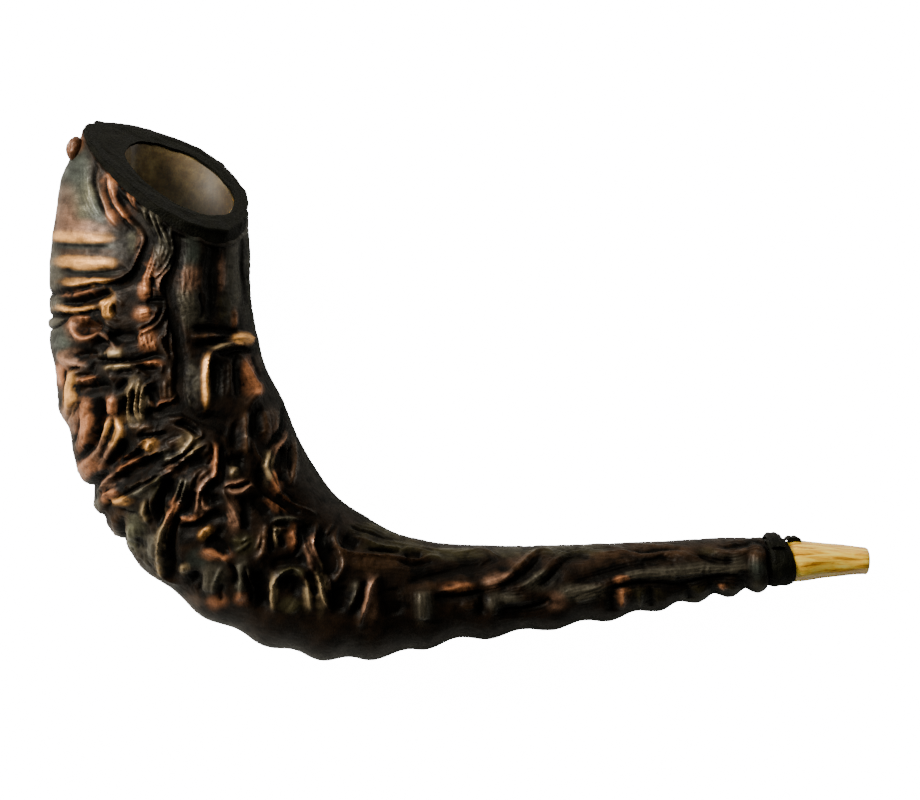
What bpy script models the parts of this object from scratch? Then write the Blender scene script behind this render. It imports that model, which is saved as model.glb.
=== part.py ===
"""Leather-covered ram's horn shofar, lying on its side.

Metres, +Z up. The horn curves in the XY plane: its bell opens towards +Y, its mouthpiece
points along +X, and the outer side of its curve faces -X and -Y. A place along the horn is
its distance from the bell on the centre line. An angle round the horn is in degrees: 0 is
the upper side, 90 the outer side of the curve, 180 the underside and -90 the inner side.
"""

import math

import bmesh
import bpy
from mathutils import Vector

# Centre line, seen from above: stretches of (length, turn to the left in degrees)
BELL_HEADING = -96.0
BELL_LEG = (0.032, 0.0)
UPPER_BEND = (0.123, 47.0)
LOWER_BEND = (0.081, 50.0)
NECK = (0.117, 7.0)
MOUTHPIECE_LEG = (0.083, -10.0)
STRETCHES = (BELL_LEG, UPPER_BEND, LOWER_BEND, NECK, MOUTHPIECE_LEG)
LENGTH = sum(stretch[0] for stretch in STRETCHES)

# Outside of the bare horn: (place, half width, half depth, height of the centre, keel).
# The keel is how much flatter the outer side is than the inner side, as a share of the depth.
HORN_OUTSIDE = [
    (0.000, 0.0347, 0.0266, 0.0380, 0.30),
    (0.030, 0.0373, 0.0298, 0.0370, 0.24),
    (0.060, 0.0380, 0.0315, 0.0368, 0.18),
    (0.095, 0.0388, 0.0325, 0.0378, 0.14),
    (0.120, 0.0403, 0.0330, 0.0383, 0.12),
    (0.142, 0.0375, 0.0318, 0.0371, 0.10),
    (0.168, 0.0342, 0.0298, 0.0353, 0.08),
    (0.184, 0.0312, 0.0280, 0.0340, 0.06),
    (0.209, 0.0275, 0.0250, 0.0322, 0.04),
    (0.232, 0.0218, 0.0215, 0.0300, 0.02),
    (0.254, 0.0176, 0.0182, 0.0277, 0.00),
    (0.275, 0.0160, 0.0165, 0.0255, 0.00),
    (0.318, 0.0134, 0.0142, 0.0214, 0.00),
    (0.362, 0.0103, 0.0115, 0.0175, 0.00),
    (0.399, 0.0083, 0.0098, 0.0139, 0.00),
    (0.436, 0.0060, 0.0080, 0.0106, 0.00),
]

# Hollow of the bell: (place, half width, half depth, shift to the inner side, keel)
HORN_HOLLOW = [
    (0.000, 0.0240, 0.0202, 0.0056, 0.12),
    (0.060, 0.0243, 0.0208, 0.0048, 0.10),
    (0.120, 0.0225, 0.0195, 0.0035, 0.10),
    (0.168, 0.0180, 0.0165, 0.0025, 0.05),
    (0.209, 0.0125, 0.0120, 0.0010, 0.00),
    (0.254, 0.0070, 0.0070, 0.0000, 0.00),
]
BORE_START = 0.290  # the hollow has narrowed to the drilled bore here
BORE_RADIUS = 0.0033
CUP_DEPTH = 0.010
CUP_HALF_WIDTH = 0.0042
CUP_HALF_DEPTH = 0.0062
LIP_ROUNDING = 0.0008

# The bell is sawn off at a slant
CUT_TURN = 22.0  # degrees towards the mouthpiece, seen from above
CUT_TILT = 29.0  # degrees upwards
CUT_BLEND = 0.070  # the horn's sections lean with the cut up to here

# Leather
GAP = 0.0003  # film of glue between two pieces
SEAM = 0.0005  # opening of a seam
LEATHER_AT_BELL = 0.0030  # thickness with its folds
LEATHER_AT_NECK = 0.0024
LEATHER_AT_RIM = 0.0018  # at its cut edge round the bell
RIM_TAPER = 0.020  # how far down from the rim it reaches its full thickness
OUTER_FOLDS = 0.0018  # how much thicker the folds are on the outer side of the bell
SWELL = 0.0009  # height of a growth ring under the leather, on the outer side
GROWTH_RINGS = (0.067, 0.086, 0.105, 0.127, 0.148, 0.170, 0.190, 0.208, 0.224, 0.244)
GROWTH_RINGS += (0.269, 0.297, 0.321, 0.3425, 0.359, 0.3745, 0.387)
FRONT_SEAM = [(0.0, -19.0), (0.035, -23.0), (0.105, -15.0), (0.140, -29.0), (0.184, -42.0), (0.254, -67.0)]
BACK_SEAM = [(0.0, -160.0), (0.140, -152.0), (0.184, -140.0), (0.254, -122.0)]
TOP_EDGE = 0.0010  # from the rim down to the leather's edge, on the outer side
TOP_EDGE_DROP = 0.0040  # how much farther down the edge is on the inner side
HEM_PLACE = 0.075  # the upper inner piece ends here, over the lower one
HEM_WIDTH = 0.009
HEM = 0.0009
BEND_SEAM = 0.200  # the leather of the outer curve meets that of the neck here
BARE_END = 0.0455  # length of polished horn left bare at the mouth
LEATHER_END = LENGTH - BARE_END

# Black leather ring on the bell's sawn end
FACING = 0.0012
FACING_ROUNDING = 0.0008

# Thong bound round the leather's end
THONG = 0.0014
THONG_START = LEATHER_END + 2 * GAP
THONG_WIDTH = 0.0122
THONG_LEAN = 0.0034  # how much narrower the turn is on the inner side
THONG_CROWN = 0.0005  # how much it bulges between its edges
OVERLAY_START = THONG_START + 0.0004
OVERLAY_WIDTH = 0.0062
OVERLAY_ANGLES = (-150.0, -35.0)
TAIL_ANGLES = (-108.0, -76.0)
TAIL_LENGTH = 0.0042

# Rolled ear of leather at the rim's outer corner
EAR_ANGLE = 80.0
EAR_DROP = 0.0088  # from the rim down to the ear's middle
EAR_RADIUS = 0.0032
EAR_LENGTH = 0.0095

RING_STEP = 0.0120  # longest distance between two sections
HORN_SIDES = 40
PANEL_STEP = 9.0  # degrees between two points of a panel
EAR_SEGMENTS = 14
EAR_RINGS = 10


def clear_scene():
    for obj in list(bpy.data.objects):
        bpy.data.objects.remove(obj, do_unlink=True)


def smooth_value(table, column, place):
    """Reads a table's column at a place, on a smooth curve that doesn't overshoot its rows."""
    x = [row[0] for row in table]
    y = [row[column] for row in table]
    if place <= x[0]:
        return y[0]
    if place >= x[-1]:
        return y[-1]
    i = max(k for k in range(len(x) - 1) if x[k] <= place)

    def slope(k):
        if k in (0, len(x) - 1):
            return 0.0
        before = (y[k] - y[k - 1]) / (x[k] - x[k - 1])
        after = (y[k + 1] - y[k]) / (x[k + 1] - x[k])
        return 0.0 if before * after <= 0 else 2 * before * after / (before + after)

    span = x[i + 1] - x[i]
    t = (place - x[i]) / span
    ease = t * t * (3 - 2 * t)
    pull = slope(i) * t * (1 - t) ** 2 - slope(i + 1) * t * t * (1 - t)
    return y[i] + (y[i + 1] - y[i]) * ease + pull * span


def plan_position(place):
    """(x, y, heading) of the centre line seen from above, arc by arc."""
    x = y = 0.0
    heading = math.radians(BELL_HEADING)
    left = place
    for length, turn in STRETCHES:
        run = min(left, length)
        angle = math.radians(turn) * run / length
        chord = run * math.sin(angle / 2) / (angle / 2) if angle else run
        x += chord * math.cos(heading + angle / 2)
        y += chord * math.sin(heading + angle / 2)
        heading += angle
        left -= run
        if left <= 0:
            break
    return x, y, heading


def frame_at(place):
    """Centre, direction to the mouth, direction to the outer side and direction upwards."""
    x, y, heading = plan_position(place)
    before = max(0.0, place - 0.001)
    after = min(LENGTH, place + 0.001)
    rise = smooth_value(HORN_OUTSIDE, 3, after) - smooth_value(HORN_OUTSIDE, 3, before)
    forward = Vector((math.cos(heading), math.sin(heading), rise / (after - before))).normalized()
    outward = Vector((math.sin(heading), -math.cos(heading), 0.0))
    return Vector((x, y, smooth_value(HORN_OUTSIDE, 3, place))), forward, outward, outward.cross(forward)


def cut_normal():
    """Direction that the bell's sawn end faces."""
    heading = math.radians(BELL_HEADING + 180.0 - CUT_TURN)
    tilt = math.radians(CUT_TILT)
    return Vector((math.cos(heading) * math.cos(tilt), math.sin(heading) * math.cos(tilt), math.sin(tilt)))


def section_point(place, angle, width, depth, keel, shift=0.0):
    """Point of an egg-shaped section, which leans with the cut near the bell."""
    centre, forward, outward, up = frame_at(place)
    across = math.sin(math.radians(angle))
    rise = depth * math.cos(math.radians(angle)) * (1.0 - keel * across)
    sideways = outward * (width * across - shift) + up * rise
    share = max(0.0, 1.0 - place / CUT_BLEND)
    lean = -cut_normal().dot(sideways) / cut_normal().dot(forward)
    return centre + sideways + forward * lean * share * share * (3 - 2 * share)


def outside(place, angle, offset=0.0):
    """Point at an offset outside the bare horn."""
    width = smooth_value(HORN_OUTSIDE, 1, place) + offset
    depth = smooth_value(HORN_OUTSIDE, 2, place) + offset
    return section_point(place, angle, width, depth, smooth_value(HORN_OUTSIDE, 4, place))


def hollow(place, angle, offset=0.0):
    """Point on the hollow's wall, or at an offset inside it."""
    table = HORN_HOLLOW + [
        (BORE_START, BORE_RADIUS, BORE_RADIUS, 0.0, 0.0),
        (LENGTH - CUP_DEPTH, BORE_RADIUS, BORE_RADIUS, 0.0, 0.0),
        (LENGTH, CUP_HALF_WIDTH, CUP_HALF_DEPTH, 0.0, 0.0),
    ]
    width, depth, shift, keel = [smooth_value(table, column, place) for column in (1, 2, 3, 4)]
    return section_point(place, angle, width - offset, depth - offset, keel, shift)


def ring_swell(place):
    """1 on a growth ring and 0 midway between two."""
    nearest = min(GROWTH_RINGS, key=lambda ring: abs(ring - place))
    others = [abs(ring - nearest) for ring in GROWTH_RINGS if (ring - nearest) * (place - nearest) > 0]
    reach = min(others, default=RING_STEP) / 2
    distance = min(1.0, abs(place - nearest) / reach)
    return math.cos(distance * math.pi / 2) ** 2


def leather(place, angle):
    """Thickness of the leather and its folds at a point."""
    share = place / LENGTH
    plain = LEATHER_AT_BELL + (LEATHER_AT_NECK - LEATHER_AT_BELL) * share
    side = max(0.0, math.sin(math.radians(angle)))
    full = plain + side * (OUTER_FOLDS * (1 - share) + SWELL * ring_swell(place))
    return LEATHER_AT_RIM + (full - LEATHER_AT_RIM) * min(1.0, place / RIM_TAPER)


def top_edge(angle):
    """How far below the rim the leather's edge is."""
    return TOP_EDGE + TOP_EDGE_DROP * (1.0 - math.sin(math.radians(angle))) / 2


def stations(start, end, longest=RING_STEP):
    """Places from start to end that keep to the growth rings and the valleys between them."""
    valleys = [(one + two) / 2 for one, two in zip(GROWTH_RINGS, GROWTH_RINGS[1:])]
    marks = sorted(place for place in list(GROWTH_RINGS) + valleys if start + 0.002 < place < end - 0.002)
    found = [start]
    for mark in marks + [end]:
        count = math.ceil((mark - found[-1]) / longest - 1e-6)
        first = found[-1]
        found += [first + (mark - first) * (i + 1) / count for i in range(count)]
    return found


def even_steps(start, end, longest):
    count = math.ceil(abs(end - start) / longest)
    return [start + (end - start) * i / count for i in range(count + 1)]


def turn_angles(count):
    return [360.0 * i / count for i in range(count)]


def join_rings(body, one, two):
    for i in range(len(one)):
        j = (i + 1) % len(one)
        body.faces.new((one[i], one[j], two[j], two[i]))


def loft_round(name, rings, material):
    """Solid from closed rings in a row, the last one joined to the first."""
    body = bmesh.new()
    rows = [[body.verts.new(point) for point in ring] for ring in rings]
    for one, two in zip(rows, rows[1:] + rows[:1]):
        join_rings(body, one, two)
    return finish(name, body, material)


def loft_panel(name, sections, material):
    """Solid from sections in a row, each a pair of equally long lines, with both ends closed."""
    body = bmesh.new()
    rows = [[body.verts.new(point) for point in over + under[::-1]] for over, under in sections]
    for one, two in zip(rows, rows[1:]):
        join_rings(body, one, two)
    for row in (rows[0], rows[-1]):
        for i in range(len(row) // 2 - 1):
            body.faces.new((row[i], row[i + 1], row[-2 - i], row[-1 - i]))
    return finish(name, body, material)


def finish(name, body, material):
    """Makes the object, with its faces pointing out and its rounded parts smooth."""
    bmesh.ops.recalc_face_normals(body, faces=body.faces)
    if body.calc_volume(signed=True) < 0:
        bmesh.ops.reverse_faces(body, faces=body.faces)
    mesh = bpy.data.meshes.new(name)
    body.to_mesh(mesh)
    body.free()
    return link_part(bpy.data.objects.new(name, mesh), material)


def link_part(part, material):
    part.data.shade_smooth()
    part.data.set_sharp_from_angle(angle=math.radians(40))
    part.data.materials.append(material)
    for collection in list(part.users_collection):
        collection.objects.unlink(part)
    bpy.data.collections["shofar"].objects.link(part)
    return part


def make_horn(material):
    """Keratin horn, open from the bell to the cup in its bare mouthpiece."""
    angles = turn_angles(HORN_SIDES)
    rings = [[outside(s, a) for a in angles] for s in stations(0.0, LENGTH - LIP_ROUNDING)]
    rings.append([outside(LENGTH, a, -LIP_ROUNDING / 2) for a in angles])
    places = even_steps(0.0, BORE_START, RING_STEP * 1.5)
    places += even_steps(BORE_START, LENGTH - CUP_DEPTH, RING_STEP * 3)[1:]
    places += even_steps(LENGTH - CUP_DEPTH, LENGTH, CUP_DEPTH / 4)[1:]
    rings += [[hollow(s, a) for a in angles] for s in reversed(places)]
    return loft_round("ram_horn", rings, material)


def make_panel(name, start, end, first_edge, last_edge, material, hem=0.0):
    """Piece of leather between two places and two seam lines."""
    widest = max(last_edge(s) - first_edge(s) for s in (start, end))
    count = math.ceil(widest / PANEL_STEP)
    sections = []
    for s in stations(start, end):
        seam = math.degrees(SEAM / 2 / smooth_value(HORN_OUTSIDE, 1, s))
        first = first_edge(s) + seam
        last = last_edge(s) - seam
        angles = [first + (last - first) * i / count for i in range(count + 1)]
        extra = hem * min(1.0, max(0.0, 1.0 - (end - s) / HEM_WIDTH) * 2)
        drop = max(0.0, 1.0 - s / CUT_BLEND)
        places = [s + drop * top_edge(a) for a in angles]
        over = [outside(p, a, GAP + leather(p, a) + extra) for p, a in zip(places, angles)]
        under = [outside(p, a, GAP) for p, a in zip(places, angles)]
        sections.append((over, under))
    return loft_panel(name, sections, material)


def make_leathers(material):
    """The four pieces of the cover, which meet at seams along and across the horn."""

    def front(place):
        return smooth_value(FRONT_SEAM, 1, place)

    def back(place):
        return smooth_value(BACK_SEAM, 1, place)

    def back_from_outside(place):
        return back(place) + 360.0

    half = SEAM / 2
    make_panel("outer_curve_leather", 0.0, BEND_SEAM - half, front, back_from_outside, material)
    make_panel("neck_leather", BEND_SEAM + half, LEATHER_END, front, back_from_outside, material)
    make_panel("inner_curve_upper_leather", 0.0, HEM_PLACE - half, back, front, material, HEM)
    make_panel("inner_curve_lower_leather", HEM_PLACE + half, LEATHER_END, back, front, material)


def make_facing(material):
    """Flat ring on the sawn end, rounded over its outer edge and down to the leather's edge."""
    bottom = cut_normal() * GAP
    top = cut_normal() * (GAP + FACING)
    sections = []
    for a in turn_angles(HORN_SIDES):
        skirt = top_edge(a) - GAP
        sections.append(
            [
                hollow(0.0, a) + top,
                outside(0.0, a, GAP + FACING - FACING_ROUNDING) + top,
                outside(0.0, a, GAP + FACING),
                outside(skirt, a, GAP + FACING),
                outside(skirt, a, GAP),
                outside(0.0, a, GAP) + bottom,
                hollow(0.0, a) + bottom,
            ]
        )
    return loft_round("rim_facing", sections, material)


def strap_section(start, end, angle, base):
    """Over and under lines of a strap that lies across the horn and bulges in the middle."""
    middle = (start + end) / 2
    over = [(start, THONG), (middle, THONG + THONG_CROWN), (end, THONG)]
    return (
        [outside(s, angle, base + lift) for s, lift in over],
        [outside(s, angle, base) for s, lift in over],
    )


def turn_end(angle):
    inner_side = (1.0 - math.sin(math.radians(angle))) / 2
    return THONG_START + THONG_WIDTH - THONG_LEAN * inner_side


def make_binding(material):
    """A full turn of thong, the end that lies over it and the short tail beside it."""
    rings = []
    for a in turn_angles(HORN_SIDES):
        over, under = strap_section(THONG_START, turn_end(a), a, GAP)
        rings.append(over + under[::-1])
    loft_round("binding_turn", rings, material)

    base = GAP + THONG + THONG_CROWN + GAP
    angles = even_steps(*OVERLAY_ANGLES, PANEL_STEP)
    sections = [strap_section(OVERLAY_START, OVERLAY_START + OVERLAY_WIDTH, a, base) for a in angles]
    loft_panel("binding_overlay", sections, material)

    angles = even_steps(*TAIL_ANGLES, PANEL_STEP)
    start = max(turn_end(a) for a in angles) + GAP
    sections = [strap_section(start, start + TAIL_LENGTH, a, GAP) for a in angles]
    loft_panel("binding_tail", sections, material)


def make_ear(material):
    """Rolled ear of leather beside the rim."""
    edge = GAP + leather(EAR_DROP, EAR_ANGLE) + GAP
    foot = outside(EAR_DROP, EAR_ANGLE, edge)
    sideways = (foot - outside(EAR_DROP, EAR_ANGLE)).normalized()
    along = outside(EAR_DROP + EAR_LENGTH / 2, EAR_ANGLE, edge) - foot
    bpy.ops.mesh.primitive_uv_sphere_add(segments=EAR_SEGMENTS, ring_count=EAR_RINGS)
    ear = bpy.context.active_object
    ear.name = "rim_ear"
    ear.data.name = "rim_ear"
    ear.scale = (EAR_RADIUS, EAR_RADIUS, EAR_LENGTH / 2)
    ear.rotation_euler = along.to_track_quat("Z", "Y").to_euler()
    ear.location = foot + sideways * EAR_RADIUS
    return link_part(ear, material)


def make_material(name, colour, roughness):
    material = bpy.data.materials.new(name)
    material.use_nodes = True
    shader = material.node_tree.nodes["Principled BSDF"]
    shader.inputs["Base Color"].default_value = (*colour, 1.0)
    shader.inputs["Roughness"].default_value = roughness
    shader.inputs["Metallic"].default_value = 0.0
    return material


def stand_on_origin():
    """Puts the origin under the middle of the object's box, at its lowest point."""
    bpy.context.view_layer.update()
    parts = bpy.data.collections["shofar"].objects
    points = [part.matrix_world @ vertex.co for part in parts for vertex in part.data.vertices]
    low = Vector([min(point[k] for point in points) for k in range(3)])
    high = Vector([max(point[k] for point in points) for k in range(3)])
    middle = (low + high) / 2
    for part in parts:
        part.location -= Vector((middle.x, middle.y, low.z))


def main():
    clear_scene()
    bpy.context.scene.collection.children.link(bpy.data.collections.new("shofar"))
    leather_material = make_material("antiqued_leather", (0.055, 0.035, 0.025), 0.45)
    black_material = make_material("black_leather", (0.020, 0.018, 0.014), 0.50)
    make_horn(make_material("polished_horn", (0.72, 0.48, 0.20), 0.25))
    make_leathers(leather_material)
    make_facing(black_material)
    make_binding(black_material)
    make_ear(leather_material)
    stand_on_origin()


main()
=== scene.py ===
import math

import bpy
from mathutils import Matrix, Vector
import numpy as np


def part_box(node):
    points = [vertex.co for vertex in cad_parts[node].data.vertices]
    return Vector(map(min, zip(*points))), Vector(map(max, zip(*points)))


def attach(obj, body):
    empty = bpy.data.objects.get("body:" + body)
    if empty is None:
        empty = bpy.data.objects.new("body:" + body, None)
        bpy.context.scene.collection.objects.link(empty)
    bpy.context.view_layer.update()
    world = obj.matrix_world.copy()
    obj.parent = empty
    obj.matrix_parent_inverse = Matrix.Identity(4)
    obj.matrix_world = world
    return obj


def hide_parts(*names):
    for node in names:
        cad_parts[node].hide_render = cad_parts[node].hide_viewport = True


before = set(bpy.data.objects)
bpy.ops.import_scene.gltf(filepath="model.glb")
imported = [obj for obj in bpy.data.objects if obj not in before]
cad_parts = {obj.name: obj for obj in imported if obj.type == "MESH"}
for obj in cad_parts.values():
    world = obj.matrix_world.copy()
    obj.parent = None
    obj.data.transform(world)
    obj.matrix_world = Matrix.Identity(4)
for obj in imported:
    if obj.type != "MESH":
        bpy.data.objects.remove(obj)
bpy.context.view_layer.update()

horn = {
    "bellHeading": -96.0,
    "stretches": [(0.032, 0.0), (0.123, 47.0), (0.081, 50.0), (0.117, 7.0), (0.083, -10.0)],  # length, turn to the left
    "outside": [  # place, half width, half depth, height of the centre, keel
        (0.000, 0.0347, 0.0266, 0.0380, 0.30),
        (0.030, 0.0373, 0.0298, 0.0370, 0.24),
        (0.060, 0.0380, 0.0315, 0.0368, 0.18),
        (0.095, 0.0388, 0.0325, 0.0378, 0.14),
        (0.120, 0.0403, 0.0330, 0.0383, 0.12),
        (0.142, 0.0375, 0.0318, 0.0371, 0.10),
        (0.168, 0.0342, 0.0298, 0.0353, 0.08),
        (0.184, 0.0312, 0.0280, 0.0340, 0.06),
        (0.209, 0.0275, 0.0250, 0.0322, 0.04),
        (0.232, 0.0218, 0.0215, 0.0300, 0.02),
        (0.254, 0.0176, 0.0182, 0.0277, 0.00),
        (0.275, 0.0160, 0.0165, 0.0255, 0.00),
        (0.318, 0.0134, 0.0142, 0.0214, 0.00),
        (0.362, 0.0103, 0.0115, 0.0175, 0.00),
        (0.399, 0.0083, 0.0098, 0.0139, 0.00),
        (0.436, 0.0060, 0.0080, 0.0106, 0.00),
    ],
    "hollow": [  # place, half width, half depth, shift to the inner side, keel
        (0.000, 0.0240, 0.0202, 0.0056, 0.12),
        (0.060, 0.0243, 0.0208, 0.0048, 0.10),
        (0.120, 0.0225, 0.0195, 0.0035, 0.10),
        (0.168, 0.0180, 0.0165, 0.0025, 0.05),
        (0.209, 0.0125, 0.0120, 0.0010, 0.00),
        (0.254, 0.0070, 0.0070, 0.0000, 0.00),
        (0.290, 0.0033, 0.0033, 0.0000, 0.00),
        (0.426, 0.0033, 0.0033, 0.0000, 0.00),
        (0.436, 0.0042, 0.0062, 0.0000, 0.00),
    ],
    "cutTurn": 22.0,
    "cutTilt": 29.0,
    "cutBlend": 0.070,
    "lipRounding": 0.0012,
}
hornLength = sum(stretch[0] for stretch in horn["stretches"])
cover = {
    "gap": 0.0003,
    "atBell": 0.0030,
    "atNeck": 0.0024,
    "atRim": 0.0018,
    "rimTaper": 0.020,
    "outerFolds": 0.0018,
    "swell": 0.0009,
    "rings": (0.067, 0.086, 0.105, 0.127, 0.148, 0.170, 0.190, 0.208, 0.224, 0.244, 0.269, 0.297, 0.321, 0.3425, 0.359, 0.3745, 0.387),
    "frontSeam": [(0.0, -19.0), (0.035, -23.0), (0.105, -15.0), (0.140, -29.0), (0.184, -42.0), (0.254, -67.0)],
    "backSeam": [(0.0, -160.0), (0.140, -152.0), (0.184, -140.0), (0.254, -122.0)],
    "topEdge": 0.0010,
    "topEdgeDrop": 0.0040,
    "hem": 0.075,
    "bendSeam": 0.200,
    "end": 0.3905,
}
eye = (-0.003, -0.004, 0.957)  # where the folds are drawn from
drawHeight = 0.050


def smoothValue(table, column, place):
    x = np.array([row[0] for row in table], float)
    y = np.array([row[column] for row in table], float)
    steps = np.diff(y) / np.diff(x)
    slope = np.zeros(len(x))
    before, after = steps[:-1], steps[1:]
    same = before * after > 0
    slope[1:-1][same] = 2 * before[same] * after[same] / (before[same] + after[same])
    p = np.clip(np.asarray(place, float), x[0], x[-1])
    i = np.clip(np.searchsorted(x, p, side="right") - 1, 0, len(x) - 2)
    span = x[i + 1] - x[i]
    t = (p - x[i]) / span
    pull = slope[i] * t * (1 - t) ** 2 - slope[i + 1] * t * t * (1 - t)
    return y[i] + (y[i + 1] - y[i]) * t * t * (3 - 2 * t) + pull * span


def planPosition(place):
    left = np.asarray(place, float).copy()
    x, y = np.zeros_like(left), np.zeros_like(left)
    heading = np.full_like(left, math.radians(horn["bellHeading"]))
    for length, turn in horn["stretches"]:
        run = np.clip(left, 0.0, length)
        angle = math.radians(turn) * run / length
        chord = run * np.sinc(angle / 2 / math.pi)
        x += chord * np.cos(heading + angle / 2)
        y += chord * np.sin(heading + angle / 2)
        heading += angle
        left -= run
    return x, y, heading


def frameAt(place):
    place = np.asarray(place, float)
    x, y, heading = planPosition(place)
    before, after = np.maximum(0.0, place - 0.001), np.minimum(hornLength, place + 0.001)
    rise = (smoothValue(horn["outside"], 3, after) - smoothValue(horn["outside"], 3, before)) / (after - before)
    forward = np.stack([np.cos(heading), np.sin(heading), rise], -1)
    forward /= np.linalg.norm(forward, axis=-1, keepdims=True)
    outward = np.stack([np.sin(heading), -np.cos(heading), np.zeros_like(heading)], -1)
    centre = np.stack([x, y, smoothValue(horn["outside"], 3, place)], -1)
    return centre, forward, outward, np.cross(outward, forward)


def cutNormal():
    heading = math.radians(horn["bellHeading"] + 180.0 - horn["cutTurn"])
    tilt = math.radians(horn["cutTilt"])
    return np.array([math.cos(heading) * math.cos(tilt), math.sin(heading) * math.cos(tilt), math.sin(tilt)])


def sectionPoint(place, angle, width, depth, keel, shift=0.0):
    centre, forward, outward, up = frameAt(place)
    across = np.sin(np.radians(angle))
    rise = depth * np.cos(np.radians(angle)) * (1.0 - keel * across)
    sideways = outward * (width * across - shift)[..., None] + up * rise[..., None]
    share = np.maximum(0.0, 1.0 - np.asarray(place) / horn["cutBlend"])
    lean = -(sideways @ cutNormal()) / (forward @ cutNormal())
    return centre + sideways + forward * (lean * share * share * (3 - 2 * share))[..., None]


shiftToFrame = np.zeros(3)


def outsidePoint(place, angle, offset):
    width = smoothValue(horn["outside"], 1, place) + offset
    depth = smoothValue(horn["outside"], 2, place) + offset
    return sectionPoint(place, angle, width, depth, smoothValue(horn["outside"], 4, place)) + shiftToFrame


allPlaces, allAngles = [v.ravel() for v in np.meshgrid(np.linspace(0, hornLength - 0.0008, 240), np.arange(0, 360, 2.0))]
shiftToFrame = np.array(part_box("ram_horn")[0]) - outsidePoint(allPlaces, allAngles, 0 * allAngles).min(0)  # the part stands on the frame's origin
print("shift", shiftToFrame)


def hollowPoint(place, angle, offset=0.0):
    width, depth, shift, keel = [smoothValue(horn["hollow"], column, place) for column in (1, 2, 3, 4)]
    return sectionPoint(place, angle, width - offset, depth - offset, keel, shift) + shiftToFrame


def ringSwell(place):
    rings = np.array(cover["rings"])
    p = np.asarray(place, float)[..., None]
    nearest = rings[np.argmin(np.abs(rings - p), -1)][..., None]
    other = np.where((rings - nearest) * (p - nearest) > 0, np.abs(rings - nearest), 9.0).min(-1)
    reach = np.where(other > 1, 0.012, other) / 2
    distance = np.minimum(1.0, np.abs(p - nearest)[..., 0] / reach)
    return np.cos(distance * math.pi / 2) ** 2


def coverThickness(place, angle):
    share = place / hornLength
    plain = cover["atBell"] + (cover["atNeck"] - cover["atBell"]) * share
    side = np.maximum(0.0, np.sin(np.radians(angle)))
    full = plain + side * (cover["outerFolds"] * (1 - share) + cover["swell"] * ringSwell(place))
    return cover["atRim"] + (full - cover["atRim"]) * np.minimum(1.0, place / cover["rimTaper"])


def topEdge(angle):
    return cover["topEdge"] + cover["topEdgeDrop"] * (1.0 - np.sin(np.radians(angle))) / 2


def hashed(ix, iy, iz, seed):
    n = (ix * 374761393 + iy * 668265263 + iz * 2147483647 + seed * 1274126177) & 0x7FFFFFFF
    n = ((n ^ (n >> 13)) * 1274126177) & 0x7FFFFFFF
    return ((n ^ (n >> 16)) & 0xFFFF) / 65535.0 * 2.0 - 1.0


def smoothNoise(x, y, z, seed):
    ix, iy, iz = [np.floor(v).astype(np.int64) for v in (x, y, z)]
    fx, fy, fz = [v - i for v, i in ((x, ix), (y, iy), (z, iz))]
    fx, fy, fz = [f * f * f * (f * (f * 6 - 15) + 10) for f in (fx, fy, fz)]
    value = 0.0
    for dx in (0, 1):
        for dy in (0, 1):
            for dz in (0, 1):
                weight = (fx if dx else 1 - fx) * (fy if dy else 1 - fy) * (fz if dz else 1 - fz)
                value = value + weight * hashed(ix + dx, iy + dy, iz + dz, seed)
    return value


def layeredNoise(x, y, z, seed, layers=3):
    total, strength = 0.0, 1.0
    for i in range(layers):
        total = total + strength * smoothNoise(x, y, z, seed + i)
        x, y, z = x * 2.03 + 5.2, y * 2.03 + 1.3, z * 2.03 + 3.7
        strength *= 0.5
    return total


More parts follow.
